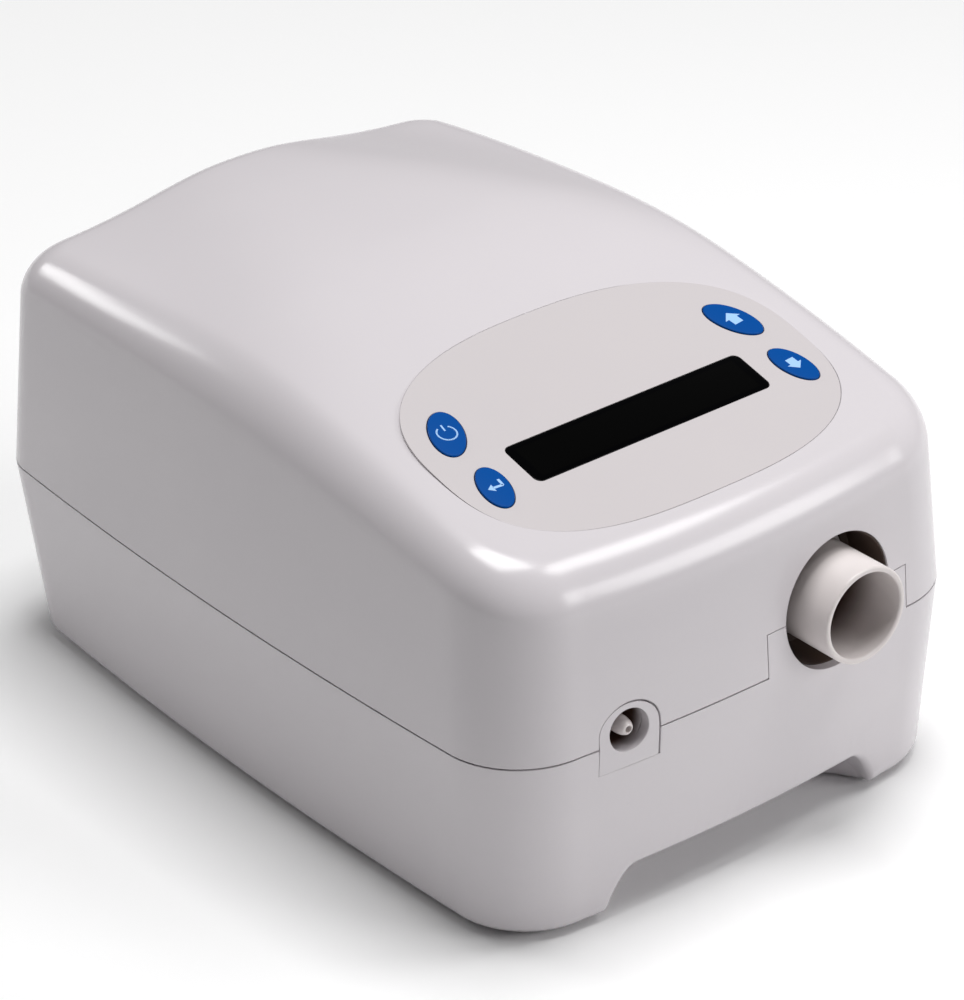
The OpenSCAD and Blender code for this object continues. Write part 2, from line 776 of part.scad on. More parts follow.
module pressure_nipple() {
    back = port_floor_y - port_back_wall;
    color([0.85, 0.8, 0.77]) to_front(-port_x, 0, port_z) rotate_extrude($fn = 48) polygon([
        [nipple_bore, nipple_tail_y], [nipple_r - 0.5, nipple_tail_y], [nipple_r + 0.1, nipple_tail_y + 2],
        [nipple_r - 0.5, nipple_tail_y + 2.4], [nipple_r - 0.5, back - 1.5], [nipple_r + 1.5, back - 1.5],
        [nipple_r + 1.5, back], [neck_r, back], [neck_r, port_floor_y], [nipple_r, port_floor_y],
        [nipple_r, nipple_tip_y - 0.6], [nipple_r - 0.6, nipple_tip_y], [nipple_bore, nipple_tip_y]]);
}

// A round tube swept along points, each ring square to the route
function unit(v) = v / norm(v);
function way(p, i) = unit(p[min(i + 1, len(p) - 1)] - p[max(i - 1, 0)]);
function sweep_ring(p, i, r, side, n) = let (t = way(p, i), u = unit(cross(side, t)), v = cross(t, u))
    [for (k = [0 : n - 1]) p[i] + r * (cos(360 * k / n) * u + sin(360 * k / n) * v)];

module sweep_tube(p, r, side, n = 8) {
    m = len(p);
    skin = [for (j = [0 : m - 2], i = [0 : n - 1])
        let (a = j * n + i, b = j * n + (i + 1) % n)
        each [[a, b + n, b], [a, a + n, b + n]]];
    last = (m - 1) * n;
    ends = [for (i = [1 : n - 2]) each [[0, i, i + 1], [last, last + i + 1, last + i]]];
    polyhedron(points = [for (i = [0 : m - 1]) each sweep_ring(p, i, r, side, n)],
        faces = concat(skin, ends), convexity = 6);
}

// A cubic curve from a to d that leaves towards b and arrives from c, with a straight bit at each end
function bend(a, b, c, d, n) = [for (k = [0 : n]) let (t = k / n, s = 1 - t)
    s * s * s * a + 3 * s * s * t * b + 3 * s * t * t * c + t * t * t * d];
function curve(a, b, c, d, n) = concat([a], bend(a + unit(b - a), b, c, d + unit(c - d), n), [d]);

sensor_w = 7;
sensor_x = min(-port_x, board_x + (board_w - sensor_w) / 2);
sensor_y = main_board_y - 8;
sensor_h = 5;
sensor_top = board_z + board_t + sensor_h;
sensor_nipple_h = 3;
sense_r = 1.6;

module sensing_tube() {
    start = [-port_x, -nipple_tail_y, port_z];
    end = [sensor_x, sensor_y, sensor_top + sensor_nipple_h];
    color([0.9, 0.9, 0.88])
        sweep_tube(curve(start, start + [0, 24, 0], end + [0, 0, 26], end, 18), sense_r, [1, 0, 0]);
}

// ---- Rear wall ----
frame_wall = 1.6;
frame_gap = 0.2;
bar_t = 1.5;

module filter_frame() {
    w = filter_w - 2 * frame_gap;
    h = filter_h - 2 * frame_gap;
    depth = back_at(filter_z) - box_back + 4;
    foam_back = cover_sink + filter_t + 0.2;
    color("#d8d6d2") difference() {
        on_rear(filter_x, filter_z) {
            difference() {
                translate([-w / 2, -depth, -h / 2]) cube([w, depth - cover_sink - frame_gap, h]);
                translate([-w / 2 + frame_wall, -depth - 1, -h / 2 + frame_wall])
                    cube([w - 2 * frame_wall, depth + 2, h - 2 * frame_wall]);
            }
            for (x = [-filter_w / 6, filter_w / 6])
                translate([x - bar_t / 2, -foam_back - bar_t, -h / 2 + cut])
                cube([bar_t, bar_t, h - 2 * cut]);
        }
        block([-half_w, 0, 0], [half_w, box_back, seam_z]);
    }
}

clip_t = 1.2;
clip_h = 10;
clip_reach = 4;
clip_gap = 0.35;
foam_gap = 0.35;

module air_filter() {
    w = filter_w - 2 * (frame_gap + frame_wall + clip_gap + clip_t + foam_gap);
    h = filter_h - 2 * (frame_gap + frame_wall + 0.3);
    color("#4a4c50") on_rear(filter_x, filter_z)
        translate([-w / 2, -cover_sink - 0.2 - filter_t, -h / 2]) cube([w, filter_t, h]);
}

module filter_cover() {
    w = filter_w + 2 * cover_edge;
    h = filter_h + 2 * cover_edge;
    slot_n = 6;
    slot_pitch = (filter_h - 2) / slot_n;
    slot_h = slot_pitch * 0.55;
    slot_w = filter_w - 6;
    color(shell_color) on_rear(filter_x, filter_z) {
        difference() {
            translate([-w / 2, -cover_sink, -h / 2]) cube([w, cover_sink + cover_proud, h]);
            for (k = [0 : slot_n - 1])
                translate([-slot_w / 2, -5, (k - (slot_n - 1) / 2) * slot_pitch - slot_h / 2])
                    cube([slot_w, 10, slot_h]);
        }
        for (s = [-1, 1])
            translate([s * (filter_w / 2 - frame_gap - frame_wall - clip_gap - clip_t / 2) - clip_t / 2,
                -cover_sink - clip_reach, -clip_h / 2]) cube([clip_t, clip_reach + cut, clip_h]);
    }
}

inlet_depth = 18;
inlet_flange = 2;
inlet_lip = 2;
socket_w = 24.2;
socket_h = 16.6;
socket_depth = 15.5;
pin_t = 2;
pin_w = 4;
pin_reach = 9.5;
pin_pitch = 7;
pin_rise = 2.2;
pin_tail = 4;

// A mains appliance inlet: a socket with two cut corners, and a flange against the wall
module socket_outline() {
    c = 4.5;
    w = socket_w / 2;
    h = socket_h / 2;
    polygon([[-w, -h], [w, -h], [w, h - c], [w - c, h], [c - w, h], [-w, h - c]]);
}

module power_inlet() {
    color("#26262a") on_rear(-inlet_x, inlet_z) difference() {
        union() {
            translate([-inlet_w / 2, -inlet_depth, -inlet_h / 2])
                cube([inlet_w, inlet_depth + cut, inlet_h]);
            translate([-inlet_w / 2 - inlet_lip, 0, -inlet_h / 2 - inlet_lip])
                cube([inlet_w + 2 * inlet_lip, inlet_flange, inlet_h + 2 * inlet_lip]);
        }
        translate([0, inlet_flange + 1, 0]) rotate([90, 0, 0])
            linear_extrude(socket_depth + 1) socket_outline();
        for (p = [[-pin_pitch, -pin_rise], [0, pin_rise], [pin_pitch, -pin_rise]])
            translate([p[0] - pin_t / 2, -inlet_depth - 1, p[1] - pin_w / 2])
                cube([pin_t, 10, pin_w]);
    }
}

module inlet_pins() {
    color(metal_color) on_rear(-inlet_x, inlet_z)
        for (p = [[-pin_pitch, -pin_rise], [0, pin_rise], [pin_pitch, -pin_rise]])
            translate([p[0] - pin_t / 2, -inlet_depth - pin_tail, p[1] - pin_w / 2])
                cube([pin_t, inlet_depth + pin_tail - socket_depth + inlet_flange + pin_reach, pin_w]);
}

// ---- Silencer box under the blower ----
blower_x = outlet_x - nozzle_off;
box_top = outlet_z - scroll_h / 2 - mount_h;
lid_t = 2;
lid_z = box_top - lid_t;
port_low = max(filter_z - filter_h / 2 + 1, floor_z + box_wall + 2);

module silencer_box() {
    baffle_y = blower_y + eye_r + 8;
    color("#dcdad6") difference() {
        block([-box_left, -box_front, floor_z], [box_right, box_back, lid_z]);
        block([-box_left + box_wall, -box_front + box_wall, floor_z + box_wall],
            [box_right - box_wall, baffle_y, lid_z + 1]);
        block([-box_left + box_wall, baffle_y + box_wall, floor_z + box_wall],
            [box_right - box_wall, box_back - box_wall, lid_z + 1]);
        block([-box_left + box_wall + 4, baffle_y - 1, floor_z + 8],
            [-4, baffle_y + box_wall + 1, lid_z - 6]);
        block([filter_x - filter_w / 2 + 3, box_back - box_wall - 1, port_low],
            [min(filter_x + filter_w / 2, box_right) - 3, box_back + 1, lid_z - 3]);
    }
}

module silencer_lid() {
    color("#dcdad6") difference() {
        block([-box_left, -box_front, lid_z], [box_right, box_back, box_top]);
        translate([blower_x, blower_y, lid_z - 1]) cylinder(r = eye_r, h = lid_t + 2);
    }
}

module silencer_foam() {
    gap = 0.3;
    low = floor_z + box_wall + gap;
    high = lid_z - gap;
    color("#55585e") {
        block([-box_left + box_wall + gap, -box_front + box_wall + gap, low],
            [box_right - box_wall - gap, blower_y - eye_r - 6, high]);
        block([blower_x + eye_r + 8, blower_y - eye_r - 5, low],
            [box_right - box_wall - gap, blower_y + eye_r + 7, high]);
    }
}

mount_ring = 26;
mount_r = 4;

module at_mounts() {
    for (a = [0, 110, -110])
        translate([blower_x + mount_ring * cos(a), blower_y + mount_ring * sin(a), box_top]) children();
}

module blower_mounts() {
    color(rubber_color) at_mounts() rotate_extrude() polygon([
        [0, 0], [mount_r, 0], [mount_r, mount_h * 0.3], [mount_r - 1, mount_h * 0.4],
        [mount_r - 1, mount_h * 0.6], [mount_r, mount_h * 0.7], [mount_r, mount_h], [0, mount_h]]);
}

module inlet_seal() {
    color("#606266") translate([blower_x, blower_y, box_top]) ring_of(eye_r + 4, eye_r + 0.5, mount_h);
}

// ---- Blower ----
scroll_z = outlet_z - scroll_h / 2;
scroll_max = nozzle_off + nozzle_r - scroll_wall;
scroll_min = impeller_r + 2;

// The scroll's inner radius grows clockwise, seen from above, up to the nozzle on the right
function scroll(grow, n = 36) = [for (k = [0 : n]) let (a = 360 * k / n)
    (scroll_max - (scroll_max - scroll_min) * k / n + grow) * [cos(a), sin(a)]];

nozzle_wall = 1.8;

module scroll_body() {
    translate([blower_x, blower_y, scroll_z]) difference() {
        linear_extrude(scroll_h) polygon(scroll(scroll_wall));
        translate([0, 0, scroll_wall]) linear_extrude(scroll_h - 2 * scroll_wall) polygon(scroll(0));
    }
}

module nozzle(r, from, to) {
    to_front(outlet_x, from, outlet_z) cylinder(r = r, h = from + to);
}

module blower_shell() {
    difference() {
        union() {
            scroll_body();
            difference() {
                nozzle(nozzle_r, blower_y, nozzle_end_y);
                translate([blower_x, blower_y, scroll_z + scroll_wall])
                    linear_extrude(scroll_h - 2 * scroll_wall) polygon(scroll(0));
            }
        }
        nozzle(nozzle_r - nozzle_wall, blower_y, nozzle_end_y + 1);
    }
}

ear_r = 3.6;
ears = [60, 150, 215];
bearing_t = 3;
seat_gap = 0.02;

function ear_reach(a) = scroll_max - (scroll_max - scroll_min) * a / 360 + scroll_wall + ear_r - 1;

module at_ears() {
    for (a = ears)
        translate([blower_x + ear_reach(a) * cos(a), blower_y + ear_reach(a) * sin(a), 0]) children();
}

module blower_base() {
    color("#b9bcc2") difference() {
        union() {
            intersection() {
                blower_shell();
                block([-half_w, -front_y, scroll_z - 1], [half_w, back_y, outlet_z]);
            }
            at_ears() translate([0, 0, outlet_z - 8]) cylinder(r = ear_r, h = 8);
        }
        translate([blower_x, blower_y, scroll_z - 1]) cylinder(r = eye_r, h = scroll_wall + 2);
        translate([blower_x, blower_y, scroll_z + scroll_wall])
            linear_extrude(scroll_h) polygon(scroll(0));
        at_ears() translate([0, 0, outlet_z - 6.5]) cylinder(r = small_screw_r + screw_clear, h = 8);
    }
}

bearing_low_z = scroll_z + scroll_h - 0.5;
motor_z = scroll_z + scroll_h;

module blower_cover() {
    color("#b9bcc2") difference() {
        union() {
            intersection() {
                blower_shell();
                block([-half_w, -front_y, outlet_z], [half_w, back_y, motor_z + 1]);
            }
            at_ears() translate([0, 0, outlet_z]) cylinder(r = ear_r, h = 3);
            translate([blower_x, blower_y, motor_z - scroll_wall])
                cylinder(r = bearing_r + 2, h = bearing_low_z + bearing_t - motor_z + scroll_wall);
        }
        translate([blower_x, blower_y, bearing_low_z]) cylinder(r = bearing_r + seat_gap, h = 10);
        translate([blower_x, blower_y, motor_z - 5]) cylinder(r = bearing_r - 1, h = 10);
        translate([blower_x, blower_y, scroll_z])
            linear_extrude(scroll_h - scroll_wall) polygon(scroll(0));
        at_ears() translate([0, 0, outlet_z - 1]) cylinder(r = small_screw_r + screw_clear, h = 8);
    }
}

module blower_screws() {
    color(metal_color) at_ears() translate([0, 0, outlet_z + 3]) small_screw(8);
}

impeller_low = scroll_z + scroll_wall + 2;
impeller_high = motor_z - scroll_wall - 2.5;
disc_t = 1.5;
hub_r = 6;
blade_root = 13;
blade_sweep = 35;
blade_thick = 1;

// One blade that bends back from the way the impeller turns: an arc between two radii
module blade() {
    arc_r = 16;
    reach = impeller_r - 0.3;
    tip = reach * [cos(blade_sweep), sin(blade_sweep)];
    root = [blade_root, 0];
    chord = tip - root;
    mid = (tip + root) / 2;
    rise = sqrt(arc_r * arc_r - chord * chord / 4) / norm(chord);
    high = impeller_high - impeller_low - disc_t / 2;
    intersection() {
        translate([mid[0] - rise * chord[1], mid[1] + rise * chord[0], 0])
            ring_of(arc_r + blade_thick / 2, arc_r - blade_thick / 2, high);
        difference() {
            translate([0, -impeller_r, 0]) cube([impeller_r, 2 * impeller_r, high]);
            translate([0, 0, -1]) cylinder(r = blade_root, h = high + 2);
        }
        cylinder(r = reach, h = high);
    }
}

module impeller() {
    color("#e8e6e0") translate([blower_x, blower_y, impeller_low]) difference() {
        union() {
            for (k = [0 : blade_n - 1]) rotate([0, 0, 360 * k / blade_n]) blade();
            translate([0, 0, impeller_high - impeller_low - disc_t]) cylinder(r = impeller_r, h = disc_t);
            translate([0, 0, 3]) cylinder(r = hub_r, h = impeller_high - impeller_low - 3);
        }
        translate([0, 0, -1]) cylinder(r = shaft_r + 0.01, h = impeller_high);
    }
}

can_wall = 1.4;
can_top = motor_z + motor_h;
boss_h = 2.5;
bearing_high_z = can_top - can_wall - boss_h + 0.5;

module motor_shaft() {
    low = impeller_low + 2;
    color(metal_color) translate([blower_x, blower_y, low])
        cylinder(r = shaft_r, h = can_top - can_wall - low - 0.3);
}

magnet_r = 8;
magnet_z = motor_z + 5;
magnet_h = 10;

module rotor_magnet() {
    color("#3a3a40") translate([blower_x, blower_y, magnet_z]) ring_of(magnet_r, shaft_r + 0.01, magnet_h);
}

stator_gap = 0.6;
tooth_n = 6;

module motor_stator() {
    ring_in = motor_r - can_wall - 2.6;
    color("#8c5a34") translate([blower_x, blower_y, magnet_z + 0.5]) {
        ring_of(motor_r - can_wall - 0.05, ring_in, magnet_h - 1);
        for (k = [0 : tooth_n - 1]) rotate([0, 0, 360 * k / tooth_n])
            translate([magnet_r + stator_gap, -2, 0])
                cube([ring_in + 0.6 - magnet_r - stator_gap, 4, magnet_h - 1]);
    }
}

module motor_can() {
    color("#9a9ca2") translate([blower_x, blower_y, motor_z]) difference() {
        cylinder(r = motor_r, h = motor_h);
        translate([0, 0, -1]) cylinder(r = motor_r - can_wall, h = motor_h - can_wall - boss_h + 1);
        translate([0, 0, motor_h - can_wall - boss_h - cut])
            ring_of(motor_r - can_wall, bearing_r + 2, boss_h);
        translate([0, 0, bearing_high_z - motor_z - 1])
            cylinder(r = bearing_r + seat_gap, h = can_top - can_wall - bearing_high_z + 1);
    }
}

module motor_bearings() {
    color(metal_color) for (z = [bearing_low_z, bearing_high_z])
        translate([blower_x, blower_y, z])
            ring_of(bearing_r, shaft_r + shaft_gap, z > magnet_z ? can_top - can_wall - z : bearing_t);
}

// ---- Circuit boards ----
module lower_board(b) {
    color(board_color) difference() {
        block([b[0], b[1], board_z], [b[2], b[3], board_z + board_t]);
        at_standoffs() translate([0, 0, board_z - 1])
            cylinder(r = small_screw_r + screw_clear, h = board_t + 2);
    }
}

module main_board() { lower_board(lower_boards[0]); }
module power_board() { lower_board(lower_boards[1]); }

board_top = board_z + board_t;

// A piece on a board: its place from the board's middle, and its size
module on_board(y, place, size) {
    translate([board_x + place[0] - size[0] / 2, y + place[1] - size[1] / 2, board_top]) cube(size);
}

module board_screws() {
    color(metal_color) at_standoffs() translate([0, 0, board_top]) small_screw(board_t + 3);
}

chip_large = [12, 12, 1.6];
chip_small = [6, 9, 1.5];
chip_tiny = [5, 4, 2.2];
chip_large_at = [-2.8, 11];
chip_small_at = [-1.8, -8];
chip_tiny_x = 8.2;
chip_tiny_y = [6, 14, 22];

module main_board_chips() {
    color("#1d1d20") {
        on_board(main_board_y, chip_large_at, chip_large);
        on_board(main_board_y, chip_small_at, chip_small);
        for (y = chip_tiny_y) on_board(main_board_y, [chip_tiny_x, y], chip_tiny);
    }
}

ribbon_x = 1.7;
ribbon_y = -21;
ribbon_w = 10;
ribbon_t = 0.8;
ribbon_plug = [13, 5, 5];
lead_x = -4.8;
lead_y = 22;
lead_plug = [6, 8, 6];
mains_x = 1.2;
mains_y = 22;
mains_plug = [12, 6, 8];

module board_connectors() {
    color("#efe9d8") {
        on_board(main_board_y, [ribbon_x, ribbon_y], ribbon_plug);
        on_board(main_board_y, [lead_x, lead_y], lead_plug);
        on_board(power_board_y, [mains_x, mains_y], mains_plug);
    }
}

module pressure_sensor() {
    color("#2b2b30") {
        on_board(main_board_y, [sensor_x - board_x, sensor_y - main_board_y],
            [sensor_w, sensor_w, sensor_h]);
        translate([sensor_x, sensor_y, sensor_top - cut])
            cylinder(r = sense_r - 0.3, h = sensor_nipple_h + cut);
    }
}

buzzer_at = [-9, 0.3];
buzzer_r = 4.2;
buzzer_hole = 0.8;
buzzer_h = 6;

module buzzer() {
    color("#202024") translate([board_x + buzzer_at[0], main_board_y + buzzer_at[1], board_top])
        ring_of(buzzer_r, buzzer_hole, buzzer_h);
}

core_at = [4.7, -2];
core = [17, 14, 16];
winding = [14, 20, 14];
core_foot = [11, 24, 4];

module transformer() {
    color("#c8a23c") on_board(power_board_y, core_at, winding);
    color("#38322c") {
        on_board(power_board_y, core_at, core);
        on_board(power_board_y, core_at, core_foot);
    }
}

// Each capacitor: its place from the board's middle, its radius and its height
cans = [[-7.8, 13, 5, 18], [-8.8, 2, 3.8, 14], [9.2, -20, 3.5, 12], [0.2, -20, 3.5, 12]];

module capacitors() {
    color("#26345c") for (p = cans)
        translate([board_x + p[0], power_board_y + p[1], board_top]) cylinder(r = p[2], h = p[3]);
}

sink_at = [-10.8, -14];
sink = [1.6, 18, 18];
fin_n = 6;
fin_t = 1;
fin_reach = 5;

module heat_sink() {
    pitch = (sink[1] - fin_t) / (fin_n - 1);
    color("#9fa3a8") {
        on_board(power_board_y, sink_at, sink);
        for (k = [0 : fin_n - 1])
            translate([board_x + sink_at[0] + sink[0] / 2 - cut,
                power_board_y + sink_at[1] - sink[1] / 2 + k * pitch, board_top])
                cube([fin_reach, fin_t, sink[2]]);
    }
}

// ---- Leads held inside ----
module ribbon_cable() {
    bend = 6;
    top_y = panel_y + (key_board_n + board_t) * sin(panel_tilt);
    top_z0 = panel_z - (key_board_n + board_t) * cos(panel_tilt);
    low_y = main_board_y + ribbon_y;
    route = [[top_y, top_z0], [top_y + 1, top_z0 - bend], [low_y, top_z0 - 4 * bend],
        [low_y, board_top + ribbon_plug[2]]];
    half = ribbon_t / 2;
    rise = [half * tan(panel_tilt), 0, 0, 0];
    color("#8e9094") translate([board_x + ribbon_x - ribbon_w / 2, 0, 0])
        rotate([90, 0, 90]) linear_extrude(ribbon_w)
        polygon(concat([for (k = [0 : 3]) route[k] - [half, rise[k]]],
            [for (k = [3 : -1 : 0]) route[k] + [half, rise[k]]]));
}

lead_r = 1.4;

module motor_lead() {
    start = [blower_x - motor_r, blower_y, motor_z + 3];
    end = [board_x + lead_x, main_board_y + lead_y, board_top + lead_plug[2]];
    color("#a03028")
        sweep_tube(curve(start, start + [-34, 0, 0], end + [0, 0, 44], end, 20), lead_r, [0, 1, 0]);
}

module mains_lead() {
    back = inlet_depth + pin_tail;
    start = [-inlet_x, back_at(inlet_z) - back * cos(draft_back) + pin_rise * sin(draft_back),
        inlet_z + back * sin(draft_back) + pin_rise * cos(draft_back)];
    end = [board_x + mains_x, power_board_y + mains_y, board_top + mains_plug[2]];
    inward = 5 * [0, -cos(draft_back), sin(draft_back)];
    color("#2c4a7c")
        sweep_tube(curve(start, start + inward, end + [0, 0, 8], end, 10), lead_r, [1, 0.2, 0]);
}

upper_shell();
lower_shell();
control_overlay();
display_window();
power_button();
enter_button();
up_button();
down_button();
power_plunger();
enter_plunger();
up_plunger();
down_plunger();
key_switches();
display_module();
key_board();
key_board_screws();
outlet_tube();
outlet_boot();
port_plate();
pressure_nipple();
sensing_tube();
filter_frame();
air_filter();
filter_cover();
power_inlet();
inlet_pins();
silencer_box();
silencer_lid();
silencer_foam();
blower_mounts();
inlet_seal();
blower_base();
blower_cover();
blower_screws();
impeller();
motor_shaft();
rotor_magnet();
motor_stator();
motor_can();
motor_bearings();
main_board();
main_board_chips();
board_connectors();
pressure_sensor();
buzzer();
power_board();
transformer();
capacitors();
heat_sink();
board_screws();
ribbon_cable();
motor_lead();
mains_lead();
rubber_feet();
shell_screws();
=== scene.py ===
import math

import bmesh
import bpy
from mathutils import Matrix, Vector


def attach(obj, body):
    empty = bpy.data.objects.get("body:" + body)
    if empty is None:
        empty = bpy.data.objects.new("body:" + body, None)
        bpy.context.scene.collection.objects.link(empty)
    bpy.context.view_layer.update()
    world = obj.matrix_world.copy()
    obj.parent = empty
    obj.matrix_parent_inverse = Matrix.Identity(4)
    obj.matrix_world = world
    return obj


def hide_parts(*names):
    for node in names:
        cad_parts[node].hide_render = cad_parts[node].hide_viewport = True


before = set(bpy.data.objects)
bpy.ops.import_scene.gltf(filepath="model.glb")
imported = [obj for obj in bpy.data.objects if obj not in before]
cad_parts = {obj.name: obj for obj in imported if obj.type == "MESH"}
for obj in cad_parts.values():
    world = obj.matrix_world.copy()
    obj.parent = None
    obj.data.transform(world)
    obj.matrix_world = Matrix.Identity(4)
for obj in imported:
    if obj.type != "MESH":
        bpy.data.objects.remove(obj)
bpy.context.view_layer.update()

# ---- The view ----
# The machine is seen from the front and its left side, from a little above,
# through a long lens, so that its far edges hardly draw together.
camera_turn, camera_rise, camera_roll = (math.radians(a) for a in (-37.465, 28.518, -2.04))
toward = Vector((math.sin(camera_turn) * math.cos(camera_rise),
                 -math.cos(camera_turn) * math.cos(camera_rise), math.sin(camera_rise)))
level_across = Vector((math.cos(camera_turn), math.sin(camera_turn), 0))
level_upward = toward.cross(level_across)
across = math.cos(camera_roll) * level_across + math.sin(camera_roll) * level_upward
upward = math.cos(camera_roll) * level_upward - math.sin(camera_roll) * level_across
camera_aim, camera_distance = Vector((0, 0, 0.06)), 0.913914
lens = bpy.data.cameras.new("camera")
lens.lens = 150.481
lens.shift_x, lens.shift_y = 0.005446, -0.04439
camera = bpy.data.objects.new("camera", lens)
camera.matrix_world = (Matrix.Translation(camera_aim + toward * camera_distance)
                       @ Matrix((across, upward, toward)).transposed().to_4x4())
bpy.context.collection.objects.link(camera)
bpy.context.scene.camera = camera

# ---- Lower housing ----
# A shallow drafted tub of injection-moulded ABS, with a square tab that rises round the
# air outlet and an arch under the front for the fingers that lift the machine.
# The two housings close on each other with a tongue behind a fine seam.
HALF_WIDTH, FRONT, BACK, SEAM, WALL = 66.3, 89.6, 99.0, 44.0, 2.4
SIDE_BOW, FRONT_BOW, FRONT_CORNER, REAR_CORNER = 3.28, 2.4, 19.5, 13.5
LOW_DRAFT, HIGH_DRAFT, BACK_DRAFT = (math.tan(math.radians(a)) for a in (3.6, 3.2, 6.9))
FRONT_STEPS, CORNER_STEPS, SIDE_STEPS, REAR_STEPS, BACK_STEPS = 16, 16, 40, 12, 20
HALF_ROUND = FRONT_STEPS + CORNER_STEPS + SIDE_STEPS + REAR_STEPS + BACK_STEPS
ROUND = 2 * HALF_ROUND
SEAM_GAP, TONGUE_INSET, TONGUE_FOOT, TONGUE_TOP = 0.12, 1.25, SEAM - 3, SEAM + 1
BASE_Z, BASE_ROUND, BASE_STEPS = 0.8, 3.5, 6
FLOOR_Z = BASE_Z + WALL
WALL_HEIGHTS = (10, 20, 32, SEAM, 50)


def drawn_in(z, high, low):
    """How far a wall's draft brings it in from the seam, at a height"""
    return abs(z - SEAM) * (high if z > SEAM else low)


def half_outline(i, z, inset):
    """Right half of the housing's plan at a height, from the middle of the front to the back's"""
    front = FRONT_CORNER - FRONT + drawn_in(z, HIGH_DRAFT, LOW_DRAFT)
    rear = BACK - drawn_in(z, BACK_DRAFT, BACK_DRAFT) - REAR_CORNER
    side = lambda y: HALF_WIDTH - drawn_in(z, HIGH_DRAFT, LOW_DRAFT) - SIDE_BOW * (y / FRONT) ** 2
    if i <= FRONT_STEPS:
        reach = side(front) - FRONT_CORNER
        x = reach * i / FRONT_STEPS
        return x, front - FRONT_CORNER - FRONT_BOW * (1 - (x / reach) ** 2) + inset
    i -= FRONT_STEPS
    if i <= CORNER_STEPS:
        turn = math.pi / 2 * (i / CORNER_STEPS - 1)
        radius = FRONT_CORNER - inset
        return (side(front) - FRONT_CORNER + radius * math.cos(turn),
                front + radius * math.sin(turn))
    i -= CORNER_STEPS
    if i <= SIDE_STEPS:
        y = front + (rear - front) * i / SIDE_STEPS
        return side(y) - inset, y
    i -= SIDE_STEPS
    if i <= REAR_STEPS:
        turn = math.pi / 2 * i / REAR_STEPS
        radius = REAR_CORNER - inset
        return (side(rear) - REAR_CORNER + radius * math.cos(turn),
                rear + radius * math.sin(turn))
    i -= REAR_STEPS
    return (side(rear) - REAR_CORNER) * (1 - i / BACK_STEPS), rear + REAR_CORNER - inset


def outline(i, z, inset=0.0):
    """A point of the housing's plan, counted once round from the middle of the front"""
    x, y = half_outline(min(i, ROUND - i), z, inset)
    return Vector((x if i <= HALF_ROUND else -x, y, z))


def wall_row(z, inset=0.0):
    return lambda i: outline(i, z, inset)


def pole(z):
    return lambda i: Vector((0, 0, z))


def flat_row(z, inset, share):
    """A row across the flat base, drawn in towards its middle"""
    return lambda i: Vector((*(outline(i, z, inset).xy * share), z))


def closed_skin(rows, steps=ROUND):
    """A grid wrapped round the machine, one row at each height, and closed where rows meet"""
    form = bmesh.new()
    bmesh.ops.create_grid(form, x_segments=steps, y_segments=len(rows) - 1, size=0.5)
    for corner in form.verts:
        row = rows[round((corner.co.y + 0.5) * (len(rows) - 1))]
        corner.co = row(round((corner.co.x + 0.5) * steps))
    bmesh.ops.remove_doubles(form, verts=form.verts, dist=0.001)
    bmesh.ops.recalc_face_normals(form, faces=form.faces)
    return form


def loose(form, name):
    """A form as a plain object, for a Boolean"""
    mesh = bpy.data.meshes.new(name)
    form.to_mesh(mesh)
    form.free()
    holder = bpy.data.objects.new(name, mesh)
    bpy.context.collection.objects.link(holder)
    return holder


def worked(form, *steps):
    """Cuts, joins or keeps the overlap of a form with other forms: steps are (what, form)"""
    body = loose(form, "work")
    tools = []
    for what, other in steps:
        tool = loose(other, "tool")
        step = body.modifiers.new("step", "BOOLEAN")
        step.operation, step.solver, step.object = what, "EXACT", tool
        tools.append(tool)
    found = body.evaluated_get(bpy.context.evaluated_depsgraph_get())
    result = bmesh.new()
    result.from_mesh(found.to_mesh())
    found.to_mesh_clear()
    for done in (body, *tools):
        mesh = done.data
        bpy.data.objects.remove(done)
        bpy.data.meshes.remove(mesh)
    return result


def cut(form, *tools):
    return worked(form, *(("DIFFERENCE", tool) for tool in tools))


def joined(form, *others):
    return worked(form, *(("UNION", other) for other in others))


def overlap(form, other):
    return worked(form, ("INTERSECT", other))


def box(low, high):
    form = bmesh.new()
    bmesh.ops.create_cube(form, size=1)
    low, high = Vector(low), Vector(high)
    bmesh.ops.scale(form, vec=high - low, verts=form.verts)
    bmesh.ops.translate(form, vec=(low + high) / 2, verts=form.verts)
    return form


def rod(radius, low, high, steps=64):
    """A round bar from one height to another"""
    form = bmesh.new()
    bmesh.ops.create_cone(form, segments=steps, radius1=radius, radius2=radius,
                          depth=high - low, cap_ends=True)
    bmesh.ops.translate(form, vec=(0, 0, (low + high) / 2), verts=form.verts)
    return form


def placed(form, at=(0, 0, 0), turn=0):
    """Turns a form about X and moves it to its place"""
    bmesh.ops.transform(form, verts=form.verts, matrix=Matrix.Translation(at)
                        @ Matrix.Rotation(math.radians(turn), 4, "X"))
    return form


def to_front(form, x, y, z):
    """Lays a form so that its height points out of the machine's front"""
    return placed(form, (x, y, z), 90)


def on_rear(form, x, z):
    """Sets a form on the sloping back wall, with its Y out of the wall"""
    return placed(form, (x, BACK - drawn_in(z, BACK_DRAFT, BACK_DRAFT), z),
                  -math.degrees(math.atan(BACK_DRAFT)))


def slab(wide, tall, low, high):
    """A block centred on X and Z, from half its width and half its height"""
    return box((-wide, low, -tall), (wide, high, tall))


